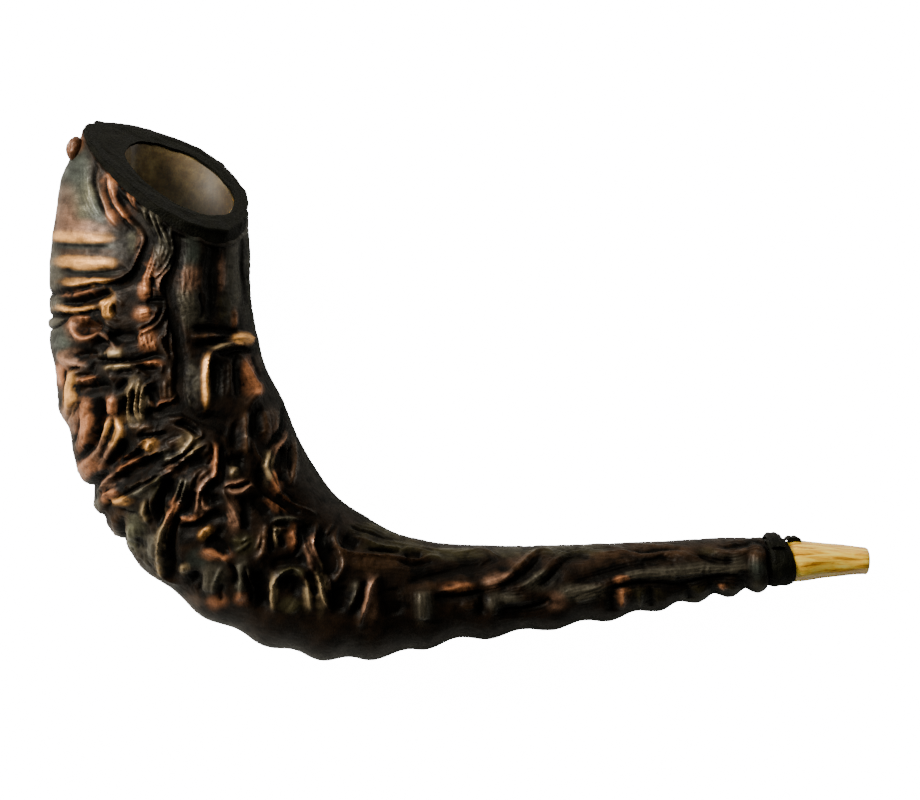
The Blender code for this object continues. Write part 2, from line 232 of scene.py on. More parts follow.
# half width, height (below 0 is a crease) and course of each fold, in mm, drawn from above
folds = {
    "panelAtRim": [
        (2.2, 0.7, [(-159, 96), (-158.5, 90), (-158, 85), (-157, 80), (-155, 75), (-153, 71)]),
        (0.5, -1.3, [(-156, 96), (-156, 90), (-156, 86), (-155, 82), (-154, 79), (-153, 76), (-151.5, 73)]),
        (1.1, 1.0, [(-154.5, 92), (-154.5, 88), (-153.8, 84), (-152.8, 80), (-151.5, 77), (-150, 73), (-147.5, 69.5),
        (-145, 66)]),
        (0.5, -1.2, [(-152, 88), (-151.3, 85), (-151, 82), (-150.3, 79.5), (-149.3, 77), (-148, 74.5)]),
        (1.2, 1.2, [(-149.5, 88), (-149.5, 85), (-148.8, 82), (-147.5, 79), (-146.3, 76), (-145, 74)]),
        (0.4, -0.8, [(-149.2, 83), (-148.5, 80.5), (-147.5, 78), (-146.5, 76)]),
        (0.6, -1.0, [(-148.8, 77), (-147.5, 74.5), (-145.5, 71.5), (-143.5, 69.5), (-141, 67), (-139.5, 65)]),
        (0.9, 2.0, [(-148.5, 80), (-147, 77), (-145, 74), (-143, 71.5), (-140.5, 69), (-138, 66.5), (-136, 64), (-135.5, 62),
                    (-135.8, 60), (-137, 57.5), (-138.5, 54), (-140, 50.5), (-141.5, 48.5), (-145, 46.2), (-150, 45),
                    (-155, 44.6),
                    (-160, 43.5), (-165, 42.5), (-169, 42)]),
        (1.7, -2.8, [(-146, 83), (-145, 80), (-143.8, 77.5), (-142, 74.5), (-139.5, 71.5), (-137, 69), (-135, 66.5),
        (-133.8, 63.5),
                     (-133.8, 60.5), (-134.7, 57.5), (-136, 54.5), (-137.4, 51), (-139, 48), (-141.5, 45.3), (-145, 43.8),
                     (-150, 43)]),
    ],
    "frontPleats": [
        (0.5, 1.3, [(-143.5, 88), (-143, 84), (-142.4, 81), (-141.5, 78), (-140, 75), (-138.5, 72.5)]),
        (0.6, 1.2, [(-141.5, 86), (-140.8, 82), (-140, 79), (-139.5, 76), (-138.5, 73.5)]),
        (0.5, 1.0, [(-145.2, 88), (-145, 85), (-144.6, 82.5)]),
        (0.6, -1.6, [(-138.8, 81), (-138, 77.5), (-137.5, 74), (-136.8, 71), (-135.5, 68.5)]),
        (0.8, 1.3, [(-137, 82), (-136, 78), (-135.2, 74.5), (-134.9, 70.5), (-133.5, 67.5), (-132, 65), (-131, 62.5)]),
        (0.5, -1.2, [(-134.2, 76), (-133.3, 71), (-132, 67.5), (-130.5, 64.5), (-129.8, 62)]),
        (0.8, 1.2, [(-134.5, 78), (-133, 74), (-131.5, 70), (-130.2, 66), (-129, 63), (-128.3, 60.5)]),
        (0.5, -1.1, [(-131.5, 73), (-130, 69), (-128.8, 65.5), (-127.5, 62.5)]),
        (0.9, 1.3, [(-131.5, 75), (-130, 72), (-129.2, 69), (-127.8, 66), (-126.5, 63.5), (-125.5, 61), (-124.8, 58)]),
        (0.9, -2.0, [(-126.4, 76), (-126.4, 72), (-126, 68), (-125.4, 65)]),
        (0.7, 1.4, [(-125.2, 75), (-124.8, 71), (-124.5, 66), (-123.8, 62), (-123, 58), (-122.6, 55), (-123, 52), (-124.5, 50),
                    (-126, 48.5), (-127.5, 47), (-128.5, 45), (-129, 42), (-128.8, 39.5)]),
        (0.45, 1.3, [(-131.8, 62), (-132.8, 59), (-133.8, 55.5), (-135, 51.5), (-136, 48.5)]),
        (0.55, 1.2, [(-131, 60), (-131.8, 56), (-133, 52), (-134, 49), (-135, 46), (-135.3, 43), (-135, 40)]),
        (0.45, 1.0, [(-130.2, 58.5), (-130.8, 54), (-132, 50), (-133, 47.5), (-133.4, 44)]),
        (0.45, 0.9, [(-128.5, 60.5), (-128.9, 58), (-129.6, 55), (-129.5, 52), (-130.6, 49)]),
        (0.45, 0.9, [(-127.2, 60.5), (-127.4, 58), (-128.4, 55), (-128.6, 52.5), (-129.4, 50)]),
        (0.5, 1.2, [(-123.6, 57), (-124.5, 54.5), (-126, 51.5), (-128, 49), (-130, 47), (-131.3, 45.5)]),
        (0.4, 0.8, [(-125.5, 59), (-126, 56.5), (-127, 54), (-128, 51.5)]),
        (0.7, -1.8, [(-131.6, 46.5), (-131.6, 44.5), (-131.4, 42)]),
        (0.4, -1.3, [(-132.2, 44), (-132, 41), (-132, 37)]),
        (0.6, -1.3, [(-127.5, 45.5), (-127.4, 43), (-127.6, 40)]),
        (1.6, 1.0, [(-135, 45), (-134.5, 42), (-133.5, 39)]),
        (1.2, -1.4, [(-134, 36), (-130, 36.2), (-126, 36)]),
        (1.5, -3.0, [(-122.2, 72), (-121.9, 66), (-121.2, 60), (-121.2, 56), (-121.8, 51), (-123, 47.5), (-124.2, 43),
        (-124.2, 38),
                     (-123.6, 34), (-123, 30), (-121.8, 26), (-120.6, 22), (-119.8, 17), (-119.4, 12), (-119.6, 7), (-119.6, 2),
                     (-119.3, -2), (-118.4, -6), (-117.4, -9.5), (-114, -12), (-110, -13.5), (-106, -15)]),
    ],
    "leftPanel": [
        (2.0, 0.5, [(-172, 63), (-165, 63), (-158, 62.6), (-151, 62)]),
        (0.8, -0.5, [(-171, 59.5), (-165, 59.3), (-158, 59), (-150, 58.8)]),
        (2.0, 0.6, [(-173, 52.5), (-166, 52), (-158, 51.7), (-150, 51.5)]),
        (0.9, -0.7, [(-168, 49), (-162, 47.5), (-156, 47.6), (-149, 48.4), (-144, 49)]),
        (1.0, -1.3, [(-175, 39.2), (-170, 39.2), (-165, 40), (-160, 41.3), (-156, 42.8), (-152, 43)]),
        (1.2, 1.0, [(-172, 38), (-168, 38.3), (-163, 39), (-158, 40.2), (-153, 41.2), (-150.5, 41)]),
        (1.2, -3.0, [(-167.3, 35), (-163, 35.4), (-159, 36.4), (-155, 37.6), (-151, 38.9), (-148.5, 39)]),
        (1.3, 1.5, [(-168.7, 37), (-169.3, 35), (-168, 33.3), (-165, 32.2), (-161, 32.3), (-157, 33), (-154, 34.5),
        (-152, 36.2),
                    (-150, 38), (-148, 38.4)]),
        (0.9, -1.9, [(-175, 29.5), (-170, 29.8), (-165, 30.3), (-160, 31), (-155, 32), (-153, 31)]),
        (2.4, 0.9, [(-174, 27.5), (-171, 27.4), (-167, 28)]),
        (0.5, -1.1, [(-174.5, 23.6), (-172.5, 24.3), (-170, 25.3), (-168, 26.5), (-166, 28.5), (-164.5, 29.8)]),
        (1.0, 1.3, [(-165, 28), (-163.5, 29.5), (-160.5, 29.5), (-157.5, 28.8)]),
        (1.1, 1.7, [(-163.5, 29), (-164.3, 27), (-163.8, 24.5), (-162.5, 22.5), (-160.5, 21), (-158, 20.7), (-156, 21.3),
                    (-154.5, 22.6), (-153, 22.8), (-151.5, 21.5), (-150, 20), (-148, 18), (-146.5, 16), (-145.5, 14.5)]),
        (3.0, 0.6, [(-170, 20), (-167, 19), (-163, 18)]),
    ],
    "centre": [
        (2.4, -3.0, [(-161.5, 26), (-159, 24.5), (-156, 25), (-152, 26)]),
        (2.2, -2.6, [(-156, 17.5), (-153, 19), (-150, 17)]),
        (2.0, -2.6, [(-150, 21.5), (-146, 21), (-142, 21), (-138.5, 22)]),
        (0.5, 1.2, [(-157, 26), (-153, 25.2), (-149, 23.5), (-146, 22.5)]),
        (0.6, 1.4, [(-151.3, 28), (-149.3, 26.3), (-147.3, 25), (-145.6, 24)]),
        (0.9, 1.8, [(-149, 37.5), (-150.3, 35), (-151, 32.5), (-151, 30.5), (-149.8, 28.7)]),
        (0.45, 1.3, [(-148.2, 36.5), (-149, 34), (-149.2, 32), (-148.5, 30), (-147, 28.8), (-145.3, 28.2)]),
        (0.6, -1.8, [(-147.5, 35), (-147.8, 32), (-147, 30.3)]),
        (0.5, 1.0, [(-147, 36.7), (-145.8, 36.6), (-144.6, 35.6), (-144.2, 34)]),
        (2.5, 1.0, [(-137.5, 31), (-135, 31.4), (-132.5, 32)]),
        (0.6, 1.2, [(-131, 33.5), (-130.5, 31), (-131.3, 29), (-133, 27.2), (-136, 25.6), (-138, 25)]),
        (0.5, -1.2, [(-130.6, 29), (-132.5, 27), (-134, 26.2), (-137, 24.4)]),
        (0.7, 1.5, [(-125.5, 34.5), (-127, 31.5), (-128.5, 28.5), (-130.5, 26), (-133, 24.5), (-136, 23), (-138, 21)]),
        (0.5, -1.3, [(-127.4, 33.5), (-129, 30.2), (-131, 27.6), (-134, 25.8)]),
        (0.7, 1.1, [(-137.3, 22), (-136, 19.5), (-135.5, 17.5)]),
        (0.6, 1.1, [(-135, 22), (-134, 19), (-133, 16)]),
        (0.6, 1.0, [(-131.5, 20), (-130.5, 17.5), (-130, 15.5)]),
        (0.6, 0.9, [(-133, 22.5), (-132.2, 19), (-131.5, 16.5)]),
        (0.7, 1.2, [(-130.4, 35), (-129.8, 33), (-129.5, 31)]),
        (0.6, 1.5, [(-125, 29.5), (-125.5, 26.5), (-126, 24), (-126.2, 22), (-127.8, 21), (-128, 19.5), (-127.4, 17.5),
        (-126.4, 15.5),
                    (-125.3, 13.5), (-124.5, 12)]),
        (0.5, 1.2, [(-124.5, 27), (-124.2, 24), (-123.6, 21), (-123.8, 18), (-122.8, 14), (-121.7, 11.5)]),
        (0.6, -1.4, [(-125.2, 20), (-124.6, 17.5), (-123.6, 14.5)]),
        (2.6, 1.4, [(-150.5, 13.8), (-147, 14), (-143.5, 14.8)]),
        (1.0, -2.4, [(-157, 11.6), (-150, 11.2), (-145, 11), (-140, 11.4), (-136, 12), (-133, 13.2), (-130, 13.8), (-127, 13)]),
        (1.0, 1.6, [(-149, 5), (-150, 7.3), (-149.6, 8.6), (-147, 9.2), (-143, 9.4), (-139, 9.8), (-134, 10.5), (-130, 10.6),
        (-128, 10)]),
        (1.0, -1.6, [(-146, 6.3), (-142, 6.8), (-139.5, 6.5)]),
        (0.5, 1.2, [(-138.2, 6.7), (-136.5, 6.9), (-134.6, 5.7), (-132.5, 4.5)]),
        (1.1, -2.0, [(-137, 8.2), (-133, 7.6), (-129.5, 8)]),
        (0.6, 1.2, [(-127.3, 10), (-127.6, 8), (-128, 6)]),
        (0.7, 0.9, [(-123.8, 8.5), (-124, 5.5), (-123.4, 3)]),
        (0.8, 1.2, [(-148.8, 5.5), (-148, 4), (-146.8, 3)]),
    ],
    "leftSide": [
        (1.3, 1.3, [(-167, 16.5), (-168, 13.5), (-166.5, 11.5), (-164, 10), (-161, 9.6), (-158.8, 9), (-157.6, 8),
        (-158.2, 7)]),
        (1.5, -2.4, [(-162.3, 13.2), (-158, 14), (-154.5, 13.6)]),
        (0.8, -1.6, [(-164.7, 8.2), (-162, 8.3), (-160, 8)]),
        (1.5, 1.9, [(-158.5, 7.4), (-161, 6.7), (-163, 5), (-164, 2.5), (-164.5, 0), (-164.2, -4), (-163.8, -7),
        (-164.8, -10)]),
        (0.9, 1.4, [(-162, 3.5), (-159, 3.2), (-156.5, 3.8), (-154.5, 4.6), (-153.4, 5.6)]),
        (1.8, -2.7, [(-161, 0), (-157, -0.5), (-153, 0.5), (-148.5, 0)]),
        (0.7, -1.4, [(-161, 5.2), (-158, 5.3), (-155, 5.6)]),
        (1.4, 0.9, [(-169, 9.5), (-168, 7), (-167.5, 4), (-166.7, 1)]),
        (0.5, -1.2, [(-165.9, 8), (-166.1, 5), (-165.9, 2), (-165.6, -2), (-165.7, -5)]),
        (0.9, -2.0, [(-155.5, 11), (-156, 8), (-155, 6.5)]),
        (0.6, 1.0, [(-154.5, 14.5), (-153.8, 12.8), (-153.5, 11.8)]),
        (2.0, 1.5, [(-148, -4), (-148.3, -8), (-148.5, -11)]),
        (1.5, 1.4, [(-149, -12), (-149.8, -16), (-151.3, -21), (-153, -25), (-155, -28.5), (-158, -32), (-158.5, -36)]),
        (1.2, 1.4, [(-146.3, -12), (-144.8, -15), (-143.8, -18), (-144.8, -21), (-146.5, -24), (-148.5, -27), (-150, -31),
        (-152, -34)]),
        (0.6, -1.2, [(-147.3, -12.5), (-147.3, -15), (-148, -18), (-149, -21), (-150, -24), (-151, -27), (-152, -29.5)]),
        (1.5, -3.0, [(-152.3, -4), (-152.3, -10), (-152.9, -15), (-153.7, -19), (-155, -23), (-157, -26.5), (-159, -29)]),
        (2.4, 1.0, [(-158, -5), (-158, -12), (-157.5, -18), (-158, -22), (-159.5, -25)]),
        (0.45, -1.0, [(-161.5, -5), (-163, -8), (-164, -11), (-165, -14)]),
        (0.4, -0.8, [(-160, -5), (-162, -9), (-163, -12)]),
        (0.4, -0.9, [(-156.5, -10), (-158.3, -12.3)]),
        (0.5, -0.9, [(-160.3, -12), (-160.6, -16), (-161.5, -20), (-162, -23)]),
        (2.5, 0.8, [(-166.5, -5), (-165.8, -10), (-164.5, -15)]),
        (2.6, 0.9, [(-156, -32), (-157, -37), (-158, -42), (-156.8, -47)]),
    ],
    "twins": [
        (0.6, 1.9, [(-139.3, 2), (-140.5, -1), (-141.2, -4), (-141.5, -8), (-141.3, -12), (-140.8, -13.7)]),
        (0.65, 1.9, [(-136.8, 3.5), (-137, 0.5), (-137.8, -3), (-138.3, -6), (-138.2, -9), (-137.2, -12), (-136, -14)]),
        (0.65, 1.8, [(-130.5, 2.8), (-133, 2), (-134.7, 0), (-135.6, -3), (-136, -7), (-135.8, -11), (-135, -13.5)]),
        (0.7, -2.4, [(-139.2, -1), (-139.9, -5), (-139.9, -9), (-139.5, -12)]),
        (0.35, -1.2, [(-136.6, -1), (-137, -5), (-136.9, -9), (-136, -12)]),
        (1.1, -2.6, [(-143, -3), (-143.6, -8), (-143.6, -12), (-142.6, -15.5)]),
        (0.5, 1.4, [(-133.6, -2.5), (-132.7, -5.5), (-131.2, -7.6), (-129.7, -8.3), (-128.5, -6.4), (-126, -5.8), (-123.5, -5),
        (-121.7, -3.2), (-120.5, -2)]),
        (1.6, -2.6, [(-132.3, 0), (-131, -3), (-130.3, -5.5)]),
        (1.9, -2.8, [(-133.5, -9.5), (-130, -11), (-126, -9.3), (-122, -8.5), (-119, -9)]),
        (0.6, 0.9, [(-126, 3), (-126.2, 0), (-126, -4)]),
        (0.5, 0.8, [(-128.6, 2), (-128.3, -2), (-128, -4.5)]),
        (0.6, 0.8, [(-124, 0.5), (-123.8, -2.5), (-123.5, -4)]),
        (1.1, -2.0, [(-146, -1), (-143.5, 2), (-142, 3)]),
        (0.7, 0.9, [(-141, -15.5), (-138.5, -16.5), (-136, -15.5)]),
        (0.6, 1.2, [(-137.5, -18.3), (-135.5, -16.8), (-133, -16.2), (-131, -16.5)]),
        (1.1, -1.6, [(-138, -20.4), (-134, -20.2), (-129, -19.6), (-125, -19)]),
        (0.8, 0.9, [(-135, -19), (-130, -18), (-126, -17.3)]),
    ],
    "fan": [
        (1.7, -2.7, [(-143.3, -21), (-143.5, -25), (-146, -29), (-148.5, -33)]),
        (0.5, 1.5, [(-145, -30.3), (-142, -28.5), (-139, -26.3), (-137, -24.3), (-135, -22.3), (-132, -21.3), (-128.5, -20.8)]),
        (1.4, -2.4, [(-144.5, -32), (-141, -29.8), (-138, -28), (-135, -26.2)]),
        (1.0, 1.4, [(-131.3, -22), (-133, -24.5), (-132, -26.3)]),
        (1.0, 2.0, [(-152.8, -43), (-151, -41), (-149.5, -38.8), (-147, -36.5), (-144.5, -34.5), (-142.5, -32.5), (-140, -30.8),
                    (-137, -29.6), (-134, -28.4), (-130.5, -27.2), (-126.5, -26), (-123, -25)]),
        (2.3, -3.0, [(-146.5, -38.3), (-142, -36.7), (-138, -34.7), (-134, -33), (-130, -30), (-126, -28)]),
        (0.9, 1.7, [(-133.2, -36), (-132, -33.5), (-130, -31.5), (-127, -30), (-123.5, -29.3), (-120.5, -28), (-117.5, -25.6),
        (-115.3, -22.7),
                    (-114.6, -20.5), (-116.5, -18.6), (-119.5, -16.8), (-123, -15.6)]),
        (0.5, 1.4, [(-144.5, -41.5), (-141, -41), (-138.5, -40), (-135.5, -38.8), (-134, -38.5), (-132.5, -38), (-131, -36.5),
        (-127, -34.6),
                    (-124, -33), (-121, -31), (-118, -28.5), (-115.5, -26.2)]),
        (1.6, 1.3, [(-150, -44), (-147.5, -42.7), (-144, -42.2)]),
        (0.8, 1.7, [(-147.5, -47), (-144, -46.6), (-141, -45.4), (-138, -43.8), (-135, -42.3), (-132, -40.3), (-129, -38.3),
        (-126.5, -36.3),
                    (-123, -34), (-120, -31.5), (-117, -28.8), (-114, -26.3), (-111, -24.3), (-109, -23.2), (-107.8, -23.8),
                    (-108.2, -26), (-110.5, -28.4)]),
        (0.5, -1.6, [(-146.5, -45.4), (-144, -45.1), (-141, -43.6), (-137.5, -41.8), (-134, -40), (-131, -38), (-128, -35.8)]),
        (0.5, -1.3, [(-149.8, -43), (-147, -41.4), (-144, -40.9), (-140.5, -39.2)]),
        (0.6, -1.2, [(-148.3, -46), (-147.2, -47.2), (-148, -49)]),
        (1.2, -2.6, [(-148.5, -34.6), (-151.5, -36.3), (-154, -38.6), (-155.4, -41), (-155.9, -44), (-155.6, -47),
        (-154, -49.6), (-151.3, -52.3), (-149, -55)]),
        (3.0, 1.3, [(-153, -46), (-151.5, -48.5), (-149, -50.5)]),
        (0.9, 1.5, [(-127, -38.4), (-128, -41), (-129.5, -44), (-130.6, -46.5), (-131.6, -50)]),
        (1.4, -2.7, [(-125.4, -39.5), (-126.6, -43), (-127.6, -47), (-128, -52), (-127.8, -57)]),
        (0.35, 0.9, [(-126, -45.5), (-125.6, -48), (-125, -50)]),
        (0.6, 1.2, [(-133, -46), (-133.5, -49), (-133.9, -51.5), (-133, -53.7), (-131.8, -56)]),
        (0.5, -1.1, [(-132, -46), (-132.4, -50), (-131.8, -53), (-130.3, -56.5)]),
        (0.6, 1.1, [(-125.5, -11.9), (-121, -12.7), (-118, -12.4), (-115, -13.4), (-113, -15), (-112.2, -16)]),
        (0.5, 0.9, [(-125, -12.8), (-122, -13.7), (-120, -14.8)]),
        (0.5, 1.3, [(-110.6, -17.8), (-111, -20), (-113, -21.2), (-114.6, -22)]),
        (0.7, -1.7, [(-113.4, -22.6), (-115.5, -25.3), (-118, -27.7), (-121, -29.8), (-125, -31.9), (-129, -34.2)]),
        (0.8, -1.8, [(-122, -14.8), (-118, -15.3), (-114.5, -17), (-112.6, -18.6)]),
        (1.8, 1.0, [(-125, -24), (-121, -22), (-118, -21)]),
        (0.6, -1.0, [(-127, -22.5), (-123, -20.8), (-119.5, -19.6)]),
    ],
    "bendRidges": [
        (1.9, -2.9, [(-109.3, -29.5), (-112, -30.8), (-115.5, -31.5), (-119, -33.5), (-121, -36)]),
        (1.2, 2.1, [(-106, -22), (-104.6, -25), (-104.3, -29), (-104.4, -33), (-105.2, -36.5), (-107.5, -38.6), (-109.8, -41),
        (-111.5, -43.3),
                    (-112, -46), (-112.4, -49), (-112.9, -52), (-111.4, -54.2)]),
        (0.6, -1.4, [(-106.4, -24), (-106.2, -28), (-107.2, -31), (-109, -32.4)]),
        (1.3, -2.9, [(-102.2, -24), (-102.5, -29), (-102.6, -34), (-103.2, -37.6), (-105.2, -39.5), (-107.5, -41.2),
        (-108.8, -43.5), (-108.6, -46), (-107.6, -48)]),
        (0.7, 1.5, [(-108.9, -40.6), (-110, -43.5), (-110.1, -47), (-109, -49.6), (-107, -50.6), (-104.5, -50.8)]),
        (0.4, -1.0, [(-110.8, -43), (-111.2, -47), (-110.8, -51)]),
        (0.4, 0.9, [(-101, -26), (-100.6, -29)]),
        (0.4, 0.9, [(-99, -26.5), (-98, -30)]),
        (0.7, 1.4, [(-109, -33), (-112, -34.5), (-113.6, -36.5), (-114.8, -39), (-115.5, -42.3)]),
        (0.6, 1.2, [(-107, -33.8), (-109.5, -35.3), (-111.5, -37.6), (-112.4, -39.6)]),
        (0.6, 1.7, [(-118.6, -37.3), (-119.5, -40), (-120.6, -43), (-121.8, -46), (-122.6, -49)]),
        (0.6, 1.6, [(-116.6, -38), (-117.5, -41), (-118.4, -44), (-119.3, -47), (-120.2, -50)]),
        (0.5, -1.2, [(-118, -39), (-119, -43), (-120.3, -47)]),
        (1.7, -2.7, [(-123.5, -37.5), (-124.2, -41), (-124.2, -46)]),
        (1.4, -2.6, [(-114.7, -43), (-115.3, -48), (-116.5, -52)]),
        (0.6, 1.5, [(-101.6, -41.4), (-100, -40), (-97, -39.5), (-94.5, -38.8), (-92.3, -38)]),
        (0.8, 1.4, [(-99.6, -42), (-98, -43.4), (-95.5, -43.7), (-93, -42.6), (-91, -41), (-89.6, -40.4), (-88.4, -41.6)]),
        (0.5, -1.7, [(-98.6, -41.4), (-95.5, -40.9), (-92.5, -39.9), (-90, -39)]),
        (0.7, 1.6, [(-101.6, -41.8), (-101, -44.3), (-99.5, -47), (-98, -49.4), (-96.5, -52.2), (-95.3, -55), (-94.5, -58.6)]),
        (0.35, 0.8, [(-99.6, -49.5), (-98.4, -52.5), (-97, -55.5), (-96, -58)]),
        (0.35, 0.7, [(-100.3, -51.5), (-99.2, -54), (-98, -56.5)]),
        (0.7, 1.2, [(-96, -33.2), (-97.4, -34.6), (-98.2, -36.6)]),
        (1.9, -2.2, [(-99.5, -31), (-97, -30), (-93, -30.5)]),
        (1.3, -2.4, [(-93.5, -46), (-92, -50), (-92.3, -55), (-91.5, -58.5)]),
        (2.0, -1.9, [(-105.5, -44.5), (-104.5, -48)]),
        (1.0, 2.3, [(-120.8, -47), (-122.3, -50.5), (-124.2, -54.3), (-125.6, -58), (-126.3, -62), (-126.5, -66), (-126.2, -70),
        (-125.3, -74),
                    (-123.9, -77), (-121.5, -79.2), (-119.3, -80.6)]),
        (0.6, 1.9, [(-119.4, -47.5), (-121.3, -52), (-123, -56), (-123.8, -60), (-124.4, -64), (-124.7, -68), (-124.9, -72)]),
        (1.5, -3.0, [(-120, -51.5), (-121.6, -56), (-122.5, -60), (-123, -65), (-123, -70), (-122.1, -75), (-120.2, -78.4)]),
        (1.0, 1.4, [(-121.3, -53), (-118.5, -54), (-116, -54.8), (-113.5, -54.9), (-111, -53.7), (-109.5, -52)]),
        (1.6, -2.7, [(-120.8, -58), (-116, -58.7), (-112.5, -57.6), (-108.5, -55.3), (-104, -53.3), (-100.5, -54)]),
        (3.2, 1.3, [(-139, -56), (-138.5, -60), (-137.5, -65), (-134.5, -70), (-131, -74)]),
        (0.8, -1.9, [(-142.6, -53), (-142.3, -57), (-141.4, -61), (-139.9, -65), (-137.2, -69), (-134.6, -72),
        (-132.3, -74.8)]),
        (1.6, 0.9, [(-146.3, -52), (-144.7, -57), (-143.2, -62), (-140.3, -67.5), (-136, -72.5)]),
        (0.7, -1.3, [(-143.5, -50), (-140, -51.5), (-136.5, -51.8)]),
        (2.6, 0.8, [(-130, -60), (-129.5, -65), (-129, -70)]),
        (0.6, 0.7, [(-130.4, -57), (-129.8, -61)]),
        (1.4, -0.7, [(-135.8, -61), (-135, -66)]),
        (1.6, 1.1, [(-117.2, -73), (-116.8, -76)]),
        (1.9, -1.7, [(-113, -76), (-112, -81)]),
        (1.6, 1.2, [(-110, -62), (-110.2, -60), (-108.8, -58.6), (-106, -58.2)]),
        (1.2, 1.6, [(-110.3, -65.4), (-108, -67), (-105, -68.7), (-102, -70), (-100, -71.4), (-98.3, -73.3)]),
        (1.8, -2.4, [(-107.5, -62.6), (-104.5, -64.2), (-101.5, -66.6), (-99.3, -69.3)]),
        (2.4, -1.3, [(-104.5, -59.5), (-101.5, -61)]),
        (0.8, 1.1, [(-101.9, -74.5), (-103.4, -78), (-104.5, -81), (-105, -84.5)]),
        (2.0, 0.9, [(-108.3, -73.5), (-107.6, -79), (-107.6, -84)]),
        (1.0, -1.5, [(-110.8, -77), (-110.3, -81), (-110.5, -84)]),
        (0.9, -1.1, [(-101.5, -81), (-101.7, -85), (-101.3, -88)]),
        (0.7, -1.6, [(-98.2, -73.3), (-96.6, -75.4), (-95.8, -78.5), (-96.3, -82)]),
        (2.0, 1.3, [(-94.6, -73), (-93.6, -77), (-93, -82), (-93.6, -88)]),
        (0.8, -1.8, [(-92.2, -76), (-91.2, -80), (-90, -84), (-89.4, -89)]),
        (0.45, 1.4, [(-91, -74.5), (-90.3, -78), (-89.3, -81), (-87.8, -83.5), (-85.3, -84.6)]),
        (2.6, -2.8, [(-88, -76), (-86.5, -80), (-85, -86), (-84.5, -91)]),
        (0.5, 0.9, [(-97.5, -63), (-94, -63.8), (-90.5, -62)]),
        (0.5, 0.9, [(-96.5, -68.2), (-93, -66.2), (-90, -63.6)]),
        (0.5, 0.7, [(-97, -61), (-94.5, -63.5), (-93, -67.5)]),
    ],
    "innerPanel": [
        (1.2, 0.7, [(-118.8, 30), (-118.5, 25), (-117.8, 20), (-116.4, 15.5), (-115.6, 12.5)]),
        (0.8, 0.9, [(-118.4, 4), (-117.6, 0), (-116.6, -4), (-115.4, -8)]),
        (1.1, -1.9, [(-114.6, 25), (-111, 24.7), (-107, 25), (-103, 24.5), (-99, 24.2), (-95.5, 24.6)]),
        (0.9, 1.2, [(-115.5, 21.5), (-112, 21.5), (-108, 21.8), (-104, 22), (-101, 22)]),
        (2.6, 1.7, [(-98, 21.3), (-95, 21), (-92, 20.5), (-89, 20)]),
        (1.2, -1.9, [(-113.4, 18.3), (-111, 18.1), (-108, 18.8), (-105, 20), (-102, 20.7), (-100, 20.5)]),
        (1.2, 1.8, [(-108.9, -8), (-108.9, -4), (-109.3, 0), (-109.3, 5), (-109, 9), (-108.6, 12), (-107.3, 14.8), (-105, 16.6),
        (-102, 17.9),
                    (-99, 18.6), (-95, 18.4), (-91, 17.6), (-88.5, 17.5)]),
        (0.9, -2.1, [(-104.3, 15.2), (-101, 15.2), (-98, 15.9), (-95, 16.5), (-92, 16.5), (-89, 16)]),
        (1.9, -1.5, [(-106, 12), (-105, 8), (-104.6, 3), (-104.6, -3)]),
        (1.2, 0.6, [(-101.5, 9), (-101.8, 4), (-101.8, -2)]),
        (1.2, 0.9, [(-98.6, 12), (-99, 7), (-99, 2), (-99.5, -3)]),
        (1.0, -1.4, [(-96, 14), (-96.4, 8), (-96, 4), (-95.6, 0), (-95.6, -4)]),
        (1.6, 1.8, [(-94.8, 14.5), (-93.6, 11), (-92, 8), (-90.4, 5), (-88.5, 2), (-87.2, 0.2), (-87.3, -1.6), (-88.7, -3.6),
        (-90, -5), (-91.6, -7.5)]),
        (0.7, -1.0, [(-89.3, 14), (-88, 11), (-86.6, 8), (-85.3, 5)]),
        (2.0, -1.1, [(-106.8, 61), (-106, 56), (-106.6, 50), (-107, 44), (-106.2, 38), (-106.5, 33), (-106, 27)]),
        (1.2, 0.5, [(-102, 54), (-102.5, 48), (-102.7, 42)]),
        (0.9, -1.7, [(-93.6, 62), (-93.7, 55), (-93.5, 50), (-93, 45), (-92, 40), (-91.5, 34)]),
        (0.8, 0.6, [(-97, 33), (-96.5, 28.5), (-96, 26)]),
        (4.5, 0.6, [(-116, 56), (-117, 48), (-117, 40), (-114.5, 32)]),
        (1.0, -0.6, [(-112, 40), (-110.5, 34), (-111, 29)]),
        (2.2, -1.8, [(-110, -12.5), (-105, -13.5), (-101, -16), (-102, -20)]),
        (1.8, -1.4, [(-96, -14), (-96.5, -19), (-96.5, -25)]),
        (1.2, 1.3, [(-92, -10), (-92.3, -16), (-92.2, -21), (-91.3, -26.5)]),
        (1.5, -1.4, [(-89, -10), (-88.8, -16), (-88, -21)]),
        (0.5, 1.2, [(-88.9, -22), (-88.5, -25), (-87.3, -27.5), (-85.8, -29.5), (-84.3, -31.3)]),
        (2.0, 1.0, [(-84.5, -9), (-84, -14), (-83, -19)]),
        (1.8, 1.0, [(-79, -8), (-78.6, -13), (-79.8, -18)]),
        (0.8, -2.1, [(-75.8, -6), (-76.4, -10), (-77, -15), (-78.5, -18.6), (-80.6, -21.8), (-83, -25)]),
        (1.2, -1.7, [(-86.5, -8), (-87, -13), (-86.5, -18)]),
        (0.7, 1.8, [(-74.9, -17.5), (-76.5, -21.5), (-78.5, -24.5), (-79.8, -27), (-80.7, -30), (-81, -33)]),
        (0.65, 1.8, [(-81.5, -25), (-82.8, -29), (-83.5, -32), (-82.7, -35), (-81, -38.5), (-79, -41.5), (-77.5, -43.5),
        (-75, -45.2),
                     (-72, -47.6), (-69, -49.4), (-66, -50.6), (-63, -51.6)]),
        (0.7, 1.3, [(-80.9, -33), (-80, -36), (-79, -39.5), (-78, -43)]),
